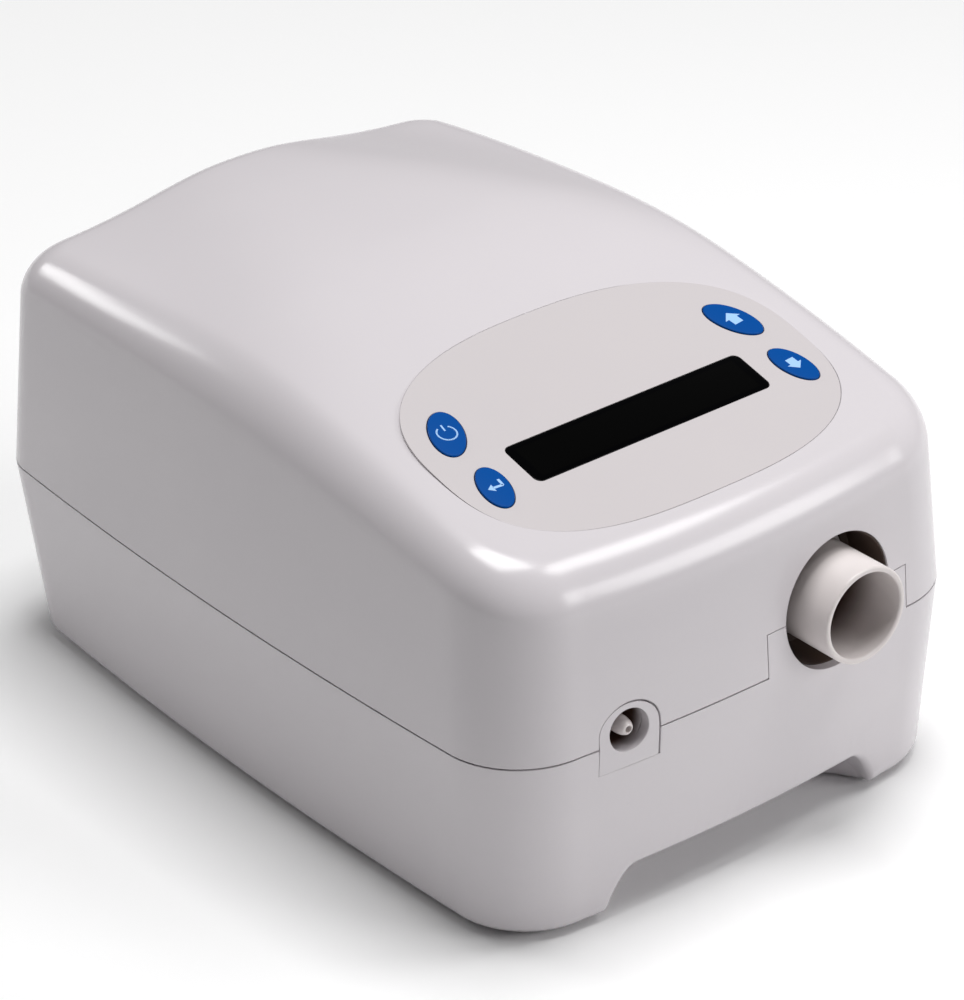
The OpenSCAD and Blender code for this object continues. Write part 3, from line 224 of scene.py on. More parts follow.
def prism(points, low, high):
    """A flat outline of points, raised from one height to another"""
    form = bmesh.new()
    face = form.faces.new([form.verts.new((x, y, low)) for x, y in points])
    raised = bmesh.ops.extrude_face_region(form, geom=[face])["geom"]
    bmesh.ops.translate(form, vec=(0, 0, high - low),
                        verts=[g for g in raised if isinstance(g, bmesh.types.BMVert)])
    bmesh.ops.recalc_face_normals(form, faces=form.faces)
    return form


class Wire:
    """One output of a material's node, so that shader maths reads as plain sums"""

    def __init__(self, finish, socket):
        self.finish, self.socket = finish, socket

    def maths(self, operation, a, b=0.0):
        return self.finish.node("ShaderNodeMath", {"operation": operation}, {0: a, 1: b})

    def __add__(self, other):
        return self.maths("ADD", self, other)

    def __radd__(self, other):
        return self.maths("ADD", other, self)

    def __sub__(self, other):
        return self.maths("SUBTRACT", self, other)

    def __rsub__(self, other):
        return self.maths("SUBTRACT", other, self)

    def __mul__(self, other):
        return self.maths("MULTIPLY", self, other)

    def __rmul__(self, other):
        return self.maths("MULTIPLY", other, self)

    def __truediv__(self, other):
        return self.maths("DIVIDE", self, other)

    def __rtruediv__(self, other):
        return self.maths("DIVIDE", other, self)

    def __pow__(self, other):
        return self.maths("POWER", self, other)

    def __abs__(self):
        return self.maths("ABSOLUTE", self)

    def ribs(self, pitch):
        """Even ridges from 0 to 1, one every pitch mm"""
        return abs(self.maths("SINE", self * (math.pi / pitch)))

    def rising(self, low, high):
        """0 below low, 1 above high, with a smooth step between"""
        return self.finish.node("ShaderNodeMapRange", {"interpolation_type": "SMOOTHSTEP"},
                                {"Value": self, "From Min": low, "From Max": high})

    def part(self, letter):
        return self.finish.node("ShaderNodeSeparateXYZ", {}, {0: self}, letter)


def paint(red, green, blue):
    """A colour read off a screen, 0 to 255, as the light that a shader wants"""
    return tuple(c / 3294.6 if c <= 10.31 else ((c / 255 + 0.055) / 1.055) ** 2.4
                 for c in (red, green, blue)) + (1.0,)


class Finish:
    """A procedural material, with sizes in millimetres on the machine itself"""

    def __init__(self, name, **settings):
        self.material = bpy.data.materials.new(name)
        self.material.use_nodes = True
        self.tree = self.material.node_tree
        self.shader = self.tree.nodes["Principled BSDF"]
        for socket, value in settings.items():
            self.shader.inputs[socket.replace("_", " ")].default_value = value
        self.place = self.node("ShaderNodeVectorMath", {"operation": "SCALE"}, {
            "Vector": self.node("ShaderNodeTexCoord", {}, {}, "Object"), "Scale": 1000.0})

    def node(self, kind, settings, inputs, output=0):
        """Adds a node with its settings, and values or links for its sockets"""
        made = self.tree.nodes.new(kind)
        for name, value in settings.items():
            setattr(made, name, value)
        for name, value in inputs.items():
            if isinstance(value, Wire):
                self.tree.links.new(value.socket, made.inputs[name])
            else:
                made.inputs[name].default_value = value
        return Wire(self, made.outputs[output])

    def sized(self, size, stretch=(1, 1, 1)):
        """The place on the machine, counted in lumps of size mm"""
        return self.node("ShaderNodeVectorMath", {"operation": "MULTIPLY"}, {
            0: self.place, 1: tuple(1 / (size * s) for s in stretch)})

    def noise(self, size, detail=2.0, stretch=(1, 1, 1)):
        """Cloudy noise from 0 to 1, whose lumps are about size mm across"""
        return self.node("ShaderNodeTexNoise", {}, {
            "Vector": self.sized(size, stretch), "Scale": 1.0, "Detail": detail})

    def cells(self, size):
        """The distance from the middles of cells about size mm across"""
        return self.node("ShaderNodeTexVoronoi", {}, {
            "Vector": self.sized(size), "Scale": 1.0}, "Distance")

    def mix(self, share, first, second):
        """One colour over another, by share"""
        return self.node("ShaderNodeMix", {"data_type": "RGBA"}, {
            0: share, 6: first, 7: second}, 2)

    def relief(self, height, depth, strength, soften=0.0):
        """Feeds the surface's normal: height from 0 to 1, depth in mm, corners softened in mm"""
        inputs = {"Height": height, "Distance": depth / 1000, "Strength": strength}
        if soften:
            inputs["Normal"] = self.node("ShaderNodeBevel", {"samples": 6},
                                         {"Radius": soften / 1000})
        self.feed(Normal=self.node("ShaderNodeBump", {}, inputs))

    def feed(self, **wires):
        for socket, wire in wires.items():
            self.tree.links.new(wire.socket, self.shader.inputs[socket.replace("_", " ")])


CREASE = math.radians(32)


def piece(form, name, body, slot, finish, *nodes):
    """Turns a form drawn in mm into a piece of the machine"""
    bmesh.ops.scale(form, vec=(0.001, 0.001, 0.001), verts=form.verts)
    mesh = bpy.data.meshes.new(name)
    form.to_mesh(mesh)
    form.free()
    mesh.materials.append(finish.material)
    mesh.polygons.foreach_set("use_smooth", [True] * len(mesh.polygons))
    mesh.set_sharp_from_angle(angle=CREASE)
    made = bpy.data.objects.new(name, mesh)
    bpy.context.collection.objects.link(made)
    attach(made, body)
    if nodes:
        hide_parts(*nodes)
    return made


def dress(finish, *nodes):
    """Gives carried-over CAD solids their finish"""
    for node in nodes:
        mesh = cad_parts[node].data
        mesh.materials.clear()
        mesh.materials.append(finish.material)


# Painted shade, laid on the walls of deep holes so that they darken towards their ends
HOLE_SHADE = paint(84, 62, 54)


def moulded(name, colour, shade, rough, grain=0.45, soften=0.3, hole=None):
    """Moulded plastic: a fine spark-eroded grain, faint flow marks, and rounded arrises. A
    hole is (x, z, radius, mouth, depth): its wall is painted darker towards its end, as painted
    shade"""
    finish = Finish(name, Roughness=rough, IOR=1.5)
    flow = finish.noise(38, 3.0, (1, 1, 0.45))
    speck = finish.noise(0.9, 2.0)
    base = finish.mix(flow * 0.75 + speck * 0.25, colour, shade)
    if hole:
        x, z, radius, mouth, depth = hole
        away = ((finish.place.part("X") - x) ** 2 + (finish.place.part("Z") - z) ** 2) ** 0.5
        inside = 1 - away.rising(radius, radius + 0.3)
        base = finish.mix(inside * finish.place.part("Y").rising(-mouth, depth - mouth),
                          base, HOLE_SHADE)
    finish.feed(Base_Color=base, Roughness=rough - 0.05 + 0.06 * flow + 0.05 * speck)
    finish.relief(finish.noise(grain, 3.0), 0.012, 0.35, soften)
    return finish


SHELL_TINTS = paint(216, 211, 214), paint(210, 205, 209)
housing = moulded("housing", *SHELL_TINTS, 0.2)


def base_rows(inset, *heights):
    """Rows over the base, its rounded edge and the walls"""
    low, soft = BASE_Z + inset, BASE_ROUND - inset
    rows = [pole(low), flat_row(low, WALL + BASE_ROUND, 0.5)]
    for step in range(BASE_STEPS + 1):
        turn = math.pi / 2 * (1 - step / BASE_STEPS)
        rows.append(wall_row(low + soft * (1 - math.sin(turn)),
                             inset + soft * (1 - math.cos(turn))))
    return rows + [wall_row(z, inset) for z in heights]


def tall_wall(top):
    """The tub's skin carried on up past the seam, as far as the outlet's tab needs"""
    rows = base_rows(0, *WALL_HEIGHTS, top)
    rows += [wall_row(z, WALL) for z in (top, *reversed(WALL_HEIGHTS), FLOOR_Z + 1)]
    rows += [wall_row(FLOOR_Z + 0.3, WALL + 0.3), wall_row(FLOOR_Z, WALL + 1),
             flat_row(FLOOR_Z, WALL + 1, 0.5), pole(FLOOR_Z)]
    return closed_skin(rows)


ARCH_FOOT, ARCH_FLAT, ARCH_TOP, ARCH_DEPTH = 38.5, 29.5, 11.5, 26.0
ARCH_LEAN, ARCH_SOFT, ARCH_STEPS = 1.6, 1.6, 20


def arch_side():
    """The S-curve from the right foot up to the arch's flat top"""
    low = BASE_Z - 1
    return [(ARCH_FOOT - (ARCH_FOOT - ARCH_FLAT) * share ** ARCH_LEAN,
             low + (ARCH_TOP - low) * (1 - math.cos(math.pi * share)) / 2)
            for share in (step / ARCH_STEPS for step in range(ARCH_STEPS + 1))]


def arch_space(grow):
    """The room for the fingers: an S-curve up from each foot, run back into an oval"""
    side = [(x + grow, z + grow) for x, z in arch_side()]
    side = [(ARCH_FOOT + grow, BASE_Z - 2)] + side
    front = to_front(prism(side + [(-x, z) for x, z in reversed(side)], 0, 100), 0, 0, 0)
    depth = rod(1, -5, ARCH_TOP + grow + 5, 96)
    bmesh.ops.scale(depth, vec=(ARCH_FOOT + grow, ARCH_DEPTH + grow, 1), verts=depth.verts)
    return overlap(front, placed(depth, (0, -FRONT, 0)))


def front_face(x, z):
    """Where the bowed front wall stands at a place, with its rounded lower edge"""
    front = drawn_in(z, HIGH_DRAFT, LOW_DRAFT) - FRONT
    reach = outline(FRONT_STEPS, z).x
    rise = BASE_ROUND - min(BASE_ROUND, max(0, z - BASE_Z))
    return (front - FRONT_BOW * (1 - (x / reach) ** 2) + BASE_ROUND
            - math.sqrt(BASE_ROUND ** 2 - rise ** 2))


def arch_rim(soft):
    """What rounds the arch's edge off in the front wall"""
    line = [Vector((ARCH_FOOT, BASE_Z - 3))] + [Vector(spot) for spot in arch_side()]
    line += [Vector((x, ARCH_TOP)) for x in range(28, -1, -4)]
    line += [Vector((-spot.x, spot.y)) for spot in reversed(line[:-1])]

    def ring(depth, grow):
        def point(i):
            k = i % len(line)
            along = (line[min(k + 1, len(line) - 1)] - line[max(k - 1, 0)]).normalized()
            fade = min(1, max(0, (line[k].y - BASE_Z) / 4))
            spot = line[k] + Vector((along.y, -along.x)) * grow * fade
            return Vector((spot.x, front_face(spot.x, spot.y) + depth, spot.y))
        return point

    rows = [lambda i: Vector((0, -FRONT - 5, 2)), ring(-1, soft)]
    rows += [ring(soft * (1 - math.cos(turn)), soft * (1 - math.sin(turn)))
             for turn in (math.pi * k / 12 for k in range(7))]
    rows += [lambda i: Vector((0, -FRONT + 1, 2))]
    return closed_skin(rows, len(line))


TAB_SIDES, TAB_TOP = (3.2, 44.0), 54.1
OUTLET_X, OUTLET_Z, WELL_RADIUS = 23.6, 54.1, 15.2
PORT_X, PORT_Z, PORT_HALF, PORT_RISE, PORT_DROP = -33.2, 46.1, 7.35, 6.05, 8.6
PORT_GAP, PORT_GROOVE, PORT_GROOVE_Y = 0.1, 0.45, 89.9
FEET, FOOT_RADIUS, FOOT_HEIGHT = [(48.5, -71), (-48.5, -71), (41, 80), (-41, 80)], 6.5, 2.0
SHELL_SCREWS = [(53, -58), (-53, -58), (53, 84), (-53, 84)]
SCREW_HEAD, SCREW_HOLE, BOSS_RADIUS = 3.4, 1.7, 5.0
FILTER_AT, FILTER_WIDE, FILTER_TALL = (26, 24), 19, 11
COVER_WIDE, COVER_TALL, COVER_SEAT, COVER_GAP = 21.5, 13.5, -1.2, 0.35
INLET_AT, INLET_WIDE, INLET_TALL, INLET_GAP = (-33, 24), 13.5, 9.9, 0.2


def tab_block(grow):
    """The tab that rises round the outlet, as a block through the front wall"""
    return box((TAB_SIDES[0] - grow, -FRONT - 8, SEAM - 2),
               (TAB_SIDES[1] + grow, -40, TAB_TOP + grow))


def outlet_well():
    return to_front(rod(WELL_RADIUS, 70, 110, 128), OUTLET_X, 0, OUTLET_Z)


def port_arch(grow, low=60):
    """The insert plate's outline: a low arch over straight sides"""
    half, rise, foot = PORT_HALF + grow, PORT_RISE + grow, -PORT_DROP - grow * 0.1
    top = [(half * math.cos(math.pi * t / 40), rise * math.sin(math.pi * t / 40))
           for t in range(41)]
    return to_front(prism(top + [(-half, foot), (half, foot)], low, 110), PORT_X, 0, PORT_Z)


def port_cuts():
    """The insert plate's hole, with a wider groove at the surface"""
    return port_arch(PORT_GAP), port_arch(PORT_GROOVE, PORT_GROOVE_Y)


above_seam = cut(box((-90, -120, SEAM - SEAM_GAP), (90, 120, 90)), tab_block(0))
tongue = closed_skin([wall_row(TONGUE_FOOT, TONGUE_INSET),
                      wall_row(TONGUE_TOP - 0.1, TONGUE_INSET),
                      wall_row(TONGUE_TOP, TONGUE_INSET + 0.1),
                      wall_row(TONGUE_TOP, WALL + 0.1), wall_row(TONGUE_FOOT, WALL + 0.1),
                      wall_row(TONGUE_FOOT, TONGUE_INSET)])
liner = overlap(arch_space(WALL), closed_skin(base_rows(0.5, 10, 20, 30) + [pole(30)]))
lower = joined(cut(tall_wall(TAB_TOP + 2), above_seam), tongue, liner)
cover_seat = slab(COVER_WIDE + COVER_GAP, COVER_TALL + COVER_GAP, COVER_SEAT, 6)
filter_hole = slab(FILTER_WIDE, FILTER_TALL, -10, 10)
inlet_hole = slab(INLET_WIDE + INLET_GAP, INLET_TALL + INLET_GAP, -10, 10)
lower = cut(lower, arch_space(0), arch_rim(ARCH_SOFT), outlet_well(), *port_cuts(),
            on_rear(cover_seat, *FILTER_AT), on_rear(filter_hole, *FILTER_AT),
            on_rear(inlet_hole, *INLET_AT),
            *(placed(rod(FOOT_RADIUS + 0.1, -2, FOOT_HEIGHT), (x, y, 0)) for x, y in FEET),
            *(placed(rod(SCREW_HEAD, -2, 8), (x, y, 0)) for x, y in SHELL_SCREWS))
for x, y in SHELL_SCREWS:
    boss = cut(placed(rod(BOSS_RADIUS, FLOOR_Z - 0.5, SEAM, 40), (x, y, 0)),
               placed(rod(SCREW_HEAD, -2, 34, 40), (x, y, 0)),
               placed(rod(SCREW_HOLE, 30, 50, 32), (x, y, 0)))
    lower = joined(lower, boss)
piece(lower, "lower_housing", "machine", "housing", housing, "lower_shell")

# ---- Rubber feet ----
# Four pads of dark silicone rubber, pressed into round seats in the base. Their rims are
# rounded by the mould, and their faces carry a fine grip pattern.
rubber = Finish("rubber", Roughness=0.75, IOR=1.45)
dust = rubber.noise(1.6, 4.0)
rubber.feed(Base_Color=rubber.mix(dust.rising(0.35, 0.8), paint(58, 58, 60), paint(78, 77, 77)),
            Roughness=0.68 + 0.16 * dust)
rubber.relief(rubber.cells(0.7), 0.05, 0.4)


def turned(profile, soft=0.0, steps=96):
    """Spins a closed profile of (radius, height) points, its corners rounded off by soft mm"""
    form = bmesh.new()
    corners = [form.verts.new((radius, 0, height)) for radius, height in profile]
    face = form.faces.new(corners)
    if soft:
        bmesh.ops.bevel(form, geom=[c for c in corners if c.co.x > 0.001], offset=soft,
                        offset_type="OFFSET", segments=4, profile=0.5, affect="VERTICES",
                        material=-1, clamp_overlap=True)
    bmesh.ops.delete(form, geom=form.faces[:], context="FACES_ONLY")
    bmesh.ops.spin(form, geom=form.verts[:] + form.edges[:], cent=(0, 0, 0), axis=(0, 0, 1),
                   angle=2 * math.pi, steps=steps, use_merge=True)
    bmesh.ops.remove_doubles(form, verts=form.verts, dist=0.0005)
    bmesh.ops.recalc_face_normals(form, faces=form.faces)
    return form


def together(*forms):
    """Several closed forms in one mesh"""
    whole = bmesh.new()
    for form in forms:
        mesh = bpy.data.meshes.new("part")
        form.to_mesh(mesh)
        form.free()
        whole.from_mesh(mesh)
        bpy.data.meshes.remove(mesh)
    return whole


foot_profile = [(0, 0), (5.0, 0), (FOOT_RADIUS, 0.7), (FOOT_RADIUS, FOOT_HEIGHT),
                (0, FOOT_HEIGHT)]
feet = [placed(turned(foot_profile, 0.3, 64), (x, y, 0)) for x, y in FEET]
piece(together(*feet), "rubber_feet_moulded", "machine", "rubber_foot", rubber, "rubber_feet")

# ---- Silencer box ----
# A lidded box of natural polypropylene in the floor of the housing. It slows the incoming
# air and soaks up its noise in two blocks of charcoal foam.
plain_plastic = moulded("plain_plastic", paint(222, 219, 212), paint(208, 205, 199), 0.42)
dress(plain_plastic, "silencer_box", "silencer_lid", "filter_frame")
foam = Finish("foam", Roughness=0.95)
pores = foam.cells(0.9)
wisps = foam.noise(0.5, 4.0)
open_cells_and_shade = pores.rising(0.05, 0.55)
# The pores are painted darker than the cell walls round them: painted shade.
foam.feed(Base_Color=foam.mix(open_cells_and_shade, paint(38, 39, 42), paint(96, 98, 103)),
          Roughness=0.85 + 0.12 * wisps)
foam.relief(open_cells_and_shade * 0.8 + wisps * 0.2, 0.5, 0.9)
dress(foam, "silencer_foam", "air_filter")

# ---- Blower mounts and seal ----
# Three waisted buffers and a sleeve of soft silicone carry the blower on the box's lid, so
# that its hum stays off the housing.
dress(rubber, "blower_mounts", "outlet_boot")
silicone = moulded("silicone", paint(104, 105, 108), paint(92, 93, 96), 0.55)
dress(silicone, "inlet_seal")

# ---- Blower ----
# Two scroll halves of glass-filled nylon held by three screws, a light backward-curved
# impeller of white nylon, and a brushless motor in a drawn steel can on top.
nylon = Finish("nylon", Roughness=0.5, IOR=1.53)
fibre = nylon.noise(0.5, 3.0, (1, 6, 1))
cloud = nylon.noise(22, 3.0)
nylon.feed(Base_Color=nylon.mix(fibre * 0.4 + cloud * 0.6, paint(174, 177, 183),
                                paint(194, 197, 202)), Roughness=0.44 + 0.14 * fibre)
nylon.relief(fibre, 0.02, 0.4, 0.2)
dress(nylon, "blower_base", "blower_cover")
white_nylon = moulded("white_nylon", paint(236, 233, 224), paint(224, 220, 209), 0.38)
dress(white_nylon, "impeller")


def metal(name, colour, worn, rough, stretch=(1, 1, 1)):
    """Bare metal: drawn or turned scratches, and a duller bloom in patches"""
    finish = Finish(name, Metallic=1.0)
    scratch = finish.noise(0.35, 3.0, stretch)
    bloom = finish.noise(7, 3.0)
    finish.feed(Base_Color=finish.mix(scratch * 0.4 + bloom * 0.6, colour, worn),
                Roughness=rough + 0.12 * scratch + 0.08 * bloom)
    finish.relief(scratch, 0.01, 0.4, 0.1)
    return finish


screw_steel = metal("screw_steel", paint(186, 188, 192), paint(150, 150, 152), 0.24)
dress(screw_steel, "blower_screws", "key_board_screws", "board_screws", "motor_shaft",
      "motor_bearings")
motor_steel = metal("motor_steel", paint(168, 170, 174), paint(138, 139, 142), 0.3, (1, 1, 12))
dress(motor_steel, "motor_can")
ferrite = Finish("ferrite", Roughness=0.5, Metallic=0.3)
pits_and_shade = ferrite.cells(0.6)
# The pits are painted darker than the surface round them: painted shade.
ferrite.feed(Base_Color=ferrite.mix(pits_and_shade, paint(44, 44, 48), paint(66, 66, 70)),
             Roughness=0.45 + 0.2 * pits_and_shade)
ferrite.relief(pits_and_shade, 0.04, 0.5)
dress(ferrite, "rotor_magnet")
winding = Finish("winding", Metallic=0.8)
strand_and_shade = winding.place.part("Z").ribs(0.35)
# Each turn of wire is painted bright on its crown and dark between turns: painted highlight and
# painted shade.
winding.feed(Base_Color=winding.mix(strand_and_shade, paint(96, 44, 18), paint(206, 120, 62)),
             Roughness=0.3 + 0.2 * (1 - strand_and_shade))
winding.relief(strand_and_shade, 0.12, 0.8)
dress(winding, "motor_stator")

# ---- Circuit boards ----
# Glass-epoxy boards under green solder resist: the main board at the front, the power
# board behind it, and their black chips, white sockets, sensor and sounder.
board = Finish("board", Roughness=0.35, IOR=1.5)
track_x = board.noise(1.4, 1.0, (7, 1, 1))
track_y = board.noise(1.4, 1.0, (1, 7, 1))
tracks = board.node("ShaderNodeMath", {"operation": "MAXIMUM"}, {
    0: track_x.rising(0.54, 0.56), 1: track_y.rising(0.57, 0.59)})
pads = 1 - board.cells(2.54).rising(0.16, 0.2)
weave = board.noise(0.3, 2.0)
resist = board.mix(tracks, paint(18, 74, 40), paint(34, 112, 62))
board.feed(Base_Color=board.mix(pads * 0.85, resist, paint(196, 190, 176)), Metallic=pads * 0.8,
           Roughness=0.3 + 0.1 * weave)
board.relief(tracks * 0.5 + pads * 0.5, 0.04, 0.6)
dress(board, "main_board", "power_board", "key_board")
chip_black = moulded("chip_black", paint(34, 34, 37), paint(44, 44, 47), 0.5, 0.25, 0.15)
dress(chip_black, "main_board_chips", "pressure_sensor", "buzzer", "key_switches",
      "power_plunger", "enter_plunger", "up_plunger", "down_plunger")
socket_white = moulded("socket_white", paint(236, 230, 214), paint(226, 219, 200), 0.45)
dress(socket_white, "board_connectors")
tape = Finish("tape", Roughness=0.35)
layers = tape.place.part("Z").ribs(1.5)
wrinkle = tape.noise(3, 3.0, (1, 4, 1))
tape.feed(Base_Color=tape.mix(layers * 0.5 + wrinkle * 0.5, paint(206, 162, 40),
                              paint(226, 188, 74)), Roughness=0.28 + 0.2 * wrinkle)
tape.relief(layers * 0.6 + wrinkle * 0.4, 0.08, 0.6)
dress(tape, "transformer")
sleeve = Finish("sleeve", Roughness=0.32)
shrink = sleeve.noise(4, 3.0, (1, 1, 5))
stripe = sleeve.place.part("Y").ribs(3.5).rising(0.94, 0.97)
sleeve.feed(Base_Color=sleeve.mix(stripe * 0.8, paint(30, 42, 84), paint(168, 176, 196)),
            Roughness=0.25 + 0.15 * shrink)
sleeve.relief(shrink, 0.05, 0.5)
dress(sleeve, "capacitors")
fin_metal = metal("fin_metal", paint(164, 167, 172), paint(140, 142, 147), 0.36, (1, 1, 9))
dress(fin_metal, "heat_sink")

# ---- Air outlet ----
# A tube of cream nylon that stands out of a round well in the front. Its flange closes the
# well's floor, a brown rubber sleeve lines the well's wall, and a rubber boot joins its tail
# to the blower.
TUBE_RADIUS, TUBE_BORE, TUBE_TIP, TUBE_TAIL = 11.0, 9.7, 99.0, 46.0
TAIL_RADIUS, FLANGE_RADIUS, FLANGE_BACK, FLANGE_FRONT = 10.9, 13.0, 75.6, 78.0
# The bore's wall is painted darker towards its inner end: painted shade.
cream = moulded("cream", paint(228, 221, 220), paint(222, 214, 212), 0.24, 0.3, 0.35,
                (OUTLET_X, OUTLET_Z, TUBE_BORE + 0.1, TUBE_TIP - 6, 11))
tube = turned([(TUBE_BORE, TUBE_TAIL), (TAIL_RADIUS, TUBE_TAIL), (TAIL_RADIUS, FLANGE_BACK),
               (FLANGE_RADIUS, FLANGE_BACK), (FLANGE_RADIUS, FLANGE_FRONT),
               (TUBE_RADIUS, FLANGE_FRONT), (TUBE_RADIUS, TUBE_TIP), (TUBE_BORE, TUBE_TIP)],
              0.45, 128)
piece(to_front(tube, OUTLET_X, 0, OUTLET_Z), "outlet_tube_moulded", "machine",
      "outlet_plastic", cream, "outlet_tube")
brown = Finish("brown", Roughness=0.6)
bloom = brown.noise(5, 3.0)
brown.feed(Base_Color=brown.mix(bloom, paint(58, 42, 34), paint(76, 58, 48)),
           Roughness=0.5 + 0.2 * bloom)
brown.relief(brown.noise(0.6, 2.0), 0.02, 0.4)
SLEEVE_RADIUS, SLEEVE_TIP, LIP_RADIUS, LIP_BORE, LIP_TIP = 17.2, 86.0, 15.15, 14.8, 89.0
grommet = turned([(FLANGE_RADIUS + 0.05, FLANGE_BACK), (SLEEVE_RADIUS, FLANGE_BACK),
                  (SLEEVE_RADIUS, SLEEVE_TIP), (LIP_RADIUS, SLEEVE_TIP), (LIP_RADIUS, LIP_TIP),
                  (LIP_BORE, LIP_TIP), (LIP_BORE, FLANGE_FRONT),
                  (FLANGE_RADIUS + 0.05, FLANGE_FRONT)], 0.15, 128)
piece(to_front(grommet, OUTLET_X, 0, OUTLET_Z), "outlet_grommet_moulded", "machine",
      "rubber_foot", brown, "outlet_tube")

# ---- Pressure port ----
# A small insert plate with an arched top, moulded like the housing and set across the seam.
# A drilled nipple stands in its round recess, and a soft tube runs from it to the sensor.
CUP_RADIUS, CUP_BACK, CUP_FRONT, RECESS_RADIUS, RECESS_FLOOR = 6.25, 80.6, 88.4, 4.85, 83.0
NIPPLE_RADIUS, NIPPLE_BORE, STEM_RADIUS, NUT_RADIUS, NUT_BACK = 2.0, 0.8, 1.5, 3.5, 79.1
plate = overlap(tall_wall(TAB_TOP + 2), port_arch(0))
cup = to_front(rod(CUP_RADIUS, CUP_BACK, CUP_FRONT, 96), PORT_X, 0, PORT_Z)
plate = cut(joined(plate, cup),
            to_front(rod(RECESS_RADIUS, RECESS_FLOOR, 110, 96), PORT_X, 0, PORT_Z),
            to_front(rod(STEM_RADIUS, 60, 110, 48), PORT_X, 0, PORT_Z))
# The recess's wall is painted darker towards its floor: painted shade.
recess = moulded("recess", *SHELL_TINTS, 0.2,
                 hole=(PORT_X, PORT_Z, RECESS_RADIUS + 0.05, 89.4, 4))
piece(plate, "port_plate_moulded", "machine", "housing", recess, "port_plate")
barb = [(NIPPLE_BORE, 70), (STEM_RADIUS, 70), (2.1, 72), (STEM_RADIUS, 72.4)]
nut = [(STEM_RADIUS, NUT_BACK), (NUT_RADIUS, NUT_BACK), (NUT_RADIUS, CUP_BACK),
       (STEM_RADIUS, CUP_BACK)]
tip = [(STEM_RADIUS, RECESS_FLOOR), (NIPPLE_RADIUS, RECESS_FLOOR), (NIPPLE_RADIUS, 87.8),
       (1.75, 89.2), (1.3, 90.1), (NIPPLE_BORE, 90.4)]
nipple = turned(barb + nut + tip, 0.2, 64)
piece(to_front(nipple, PORT_X, 0, PORT_Z), "pressure_nipple_turned", "machine",
      "outlet_plastic", cream, "pressure_nipple")
clear_tube = moulded("clear_tube", paint(226, 226, 220), paint(212, 213, 208), 0.22)
dress(clear_tube, "sensing_tube")

# ---- Intake filter ----
# A foam pad in a frame in the back wall, behind a louvred cover of the housing's plastic
# that pulls straight off.
def eased(form, edges, radius, segments):
    """Rounds edges of a form off"""
    bmesh.ops.bevel(form, geom=edges, offset=radius, offset_type="OFFSET", segments=segments,
                    profile=0.5, affect="EDGES", material=-1)
    return form


def edges_along(form, axis):
    return [e for e in form.edges if abs((e.verts[0].co - e.verts[1].co)[axis]) > 0.1]


def edges_on_top(form, axis):
    """The edges of the face that lies furthest along an axis"""
    top = max(v.co[axis] for v in form.verts) - 0.01
    return [e for e in form.edges if min(v.co[axis] for v in e.verts) > top]


SLOT_COUNT, SLOT_PITCH, SLOT_WIDE, SLOT_HALF = 6, 20 / 6, 16.0, 0.92
CLIP_X, CLIP_HALF, CLIP_TALL, CLIP_BACK = 16.25, 0.6, 5.0, -5.2
cover = slab(COVER_WIDE, COVER_TALL, COVER_SEAT, 1.0)
cover = eased(cover, edges_along(cover, 1), 1.6, 6)
cover = eased(cover, edges_on_top(cover, 1), 0.5, 4)
slots = []
for k in range(SLOT_COUNT):
    slot = slab(SLOT_WIDE, SLOT_HALF, -5, 5)
    slot = eased(slot, edges_along(slot, 1), 0.85, 5)
    slots.append(placed(slot, (0, 0, (k - (SLOT_COUNT - 1) / 2) * SLOT_PITCH)))
clips = [box((x - CLIP_HALF, CLIP_BACK, -CLIP_TALL), (x + CLIP_HALF, -1, CLIP_TALL))
         for x in (-CLIP_X, CLIP_X)]
cover = joined(cut(cover, *slots), *clips)
piece(on_rear(cover, *FILTER_AT), "filter_cover_moulded", "intake_cover", "housing", housing,
      "filter_cover")

# ---- Mains inlet ----
# A black appliance inlet with three nickel-plated blades, pushed into the back wall.
RIM_WIDE, RIM_TALL, RIM_PROUD, INLET_BACK = 15.5, 11.9, 2.0, -18.0
MOUTH_WIDE, MOUTH_TALL, MOUTH_CORNER, MOUTH_DEPTH = 12.1, 8.3, 4.5, 13.5
BLADES, BLADE_HALF, BLADE_TALL = [(-7, -2.2), (0, 2.2), (7, -2.2)], 1.0, 2.0


def blade_block(x, z, low, high):
    return box((x - BLADE_HALF, low, z - BLADE_TALL), (x + BLADE_HALF, high, z + BLADE_TALL))


shroud = slab(RIM_WIDE, RIM_TALL, 0, RIM_PROUD)
shroud = eased(shroud, edges_along(shroud, 1), 2.2, 6)
shroud = eased(shroud, edges_on_top(shroud, 1), 0.5, 3)
mouth = placed(prism([(-MOUTH_WIDE, -MOUTH_TALL), (MOUTH_WIDE, -MOUTH_TALL),
                      (MOUTH_WIDE, MOUTH_TALL - MOUTH_CORNER),
                      (MOUTH_WIDE - MOUTH_CORNER, MOUTH_TALL),
                      (MOUTH_CORNER - MOUTH_WIDE, MOUTH_TALL),
                      (-MOUTH_WIDE, MOUTH_TALL - MOUTH_CORNER)], -3, MOUTH_DEPTH), turn=90)
shroud = cut(joined(shroud, slab(INLET_WIDE, INLET_TALL, INLET_BACK, 0.5)), mouth,
             *(blade_block(x, z, -20, -5) for x, z in BLADES))
inlet_black = moulded("inlet_black", paint(32, 32, 35), paint(40, 40, 43), 0.36, 0.5, 0.25)
piece(on_rear(shroud, *INLET_AT), "power_inlet_moulded", "machine", "inlet_plastic",
      inlet_black, "power_inlet")
nickel = metal("nickel", paint(214, 196, 150), paint(188, 166, 116), 0.2, (1, 6, 1))
blades = [blade_block(x, z, -22, -4) for x, z in BLADES]
blades = [eased(blade, edges_on_top(blade, 1), 0.7, 4) for blade in blades]
piece(on_rear(together(*blades), *INLET_AT), "inlet_blades", "machine", "brass_pin", nickel,
      "inlet_pins")

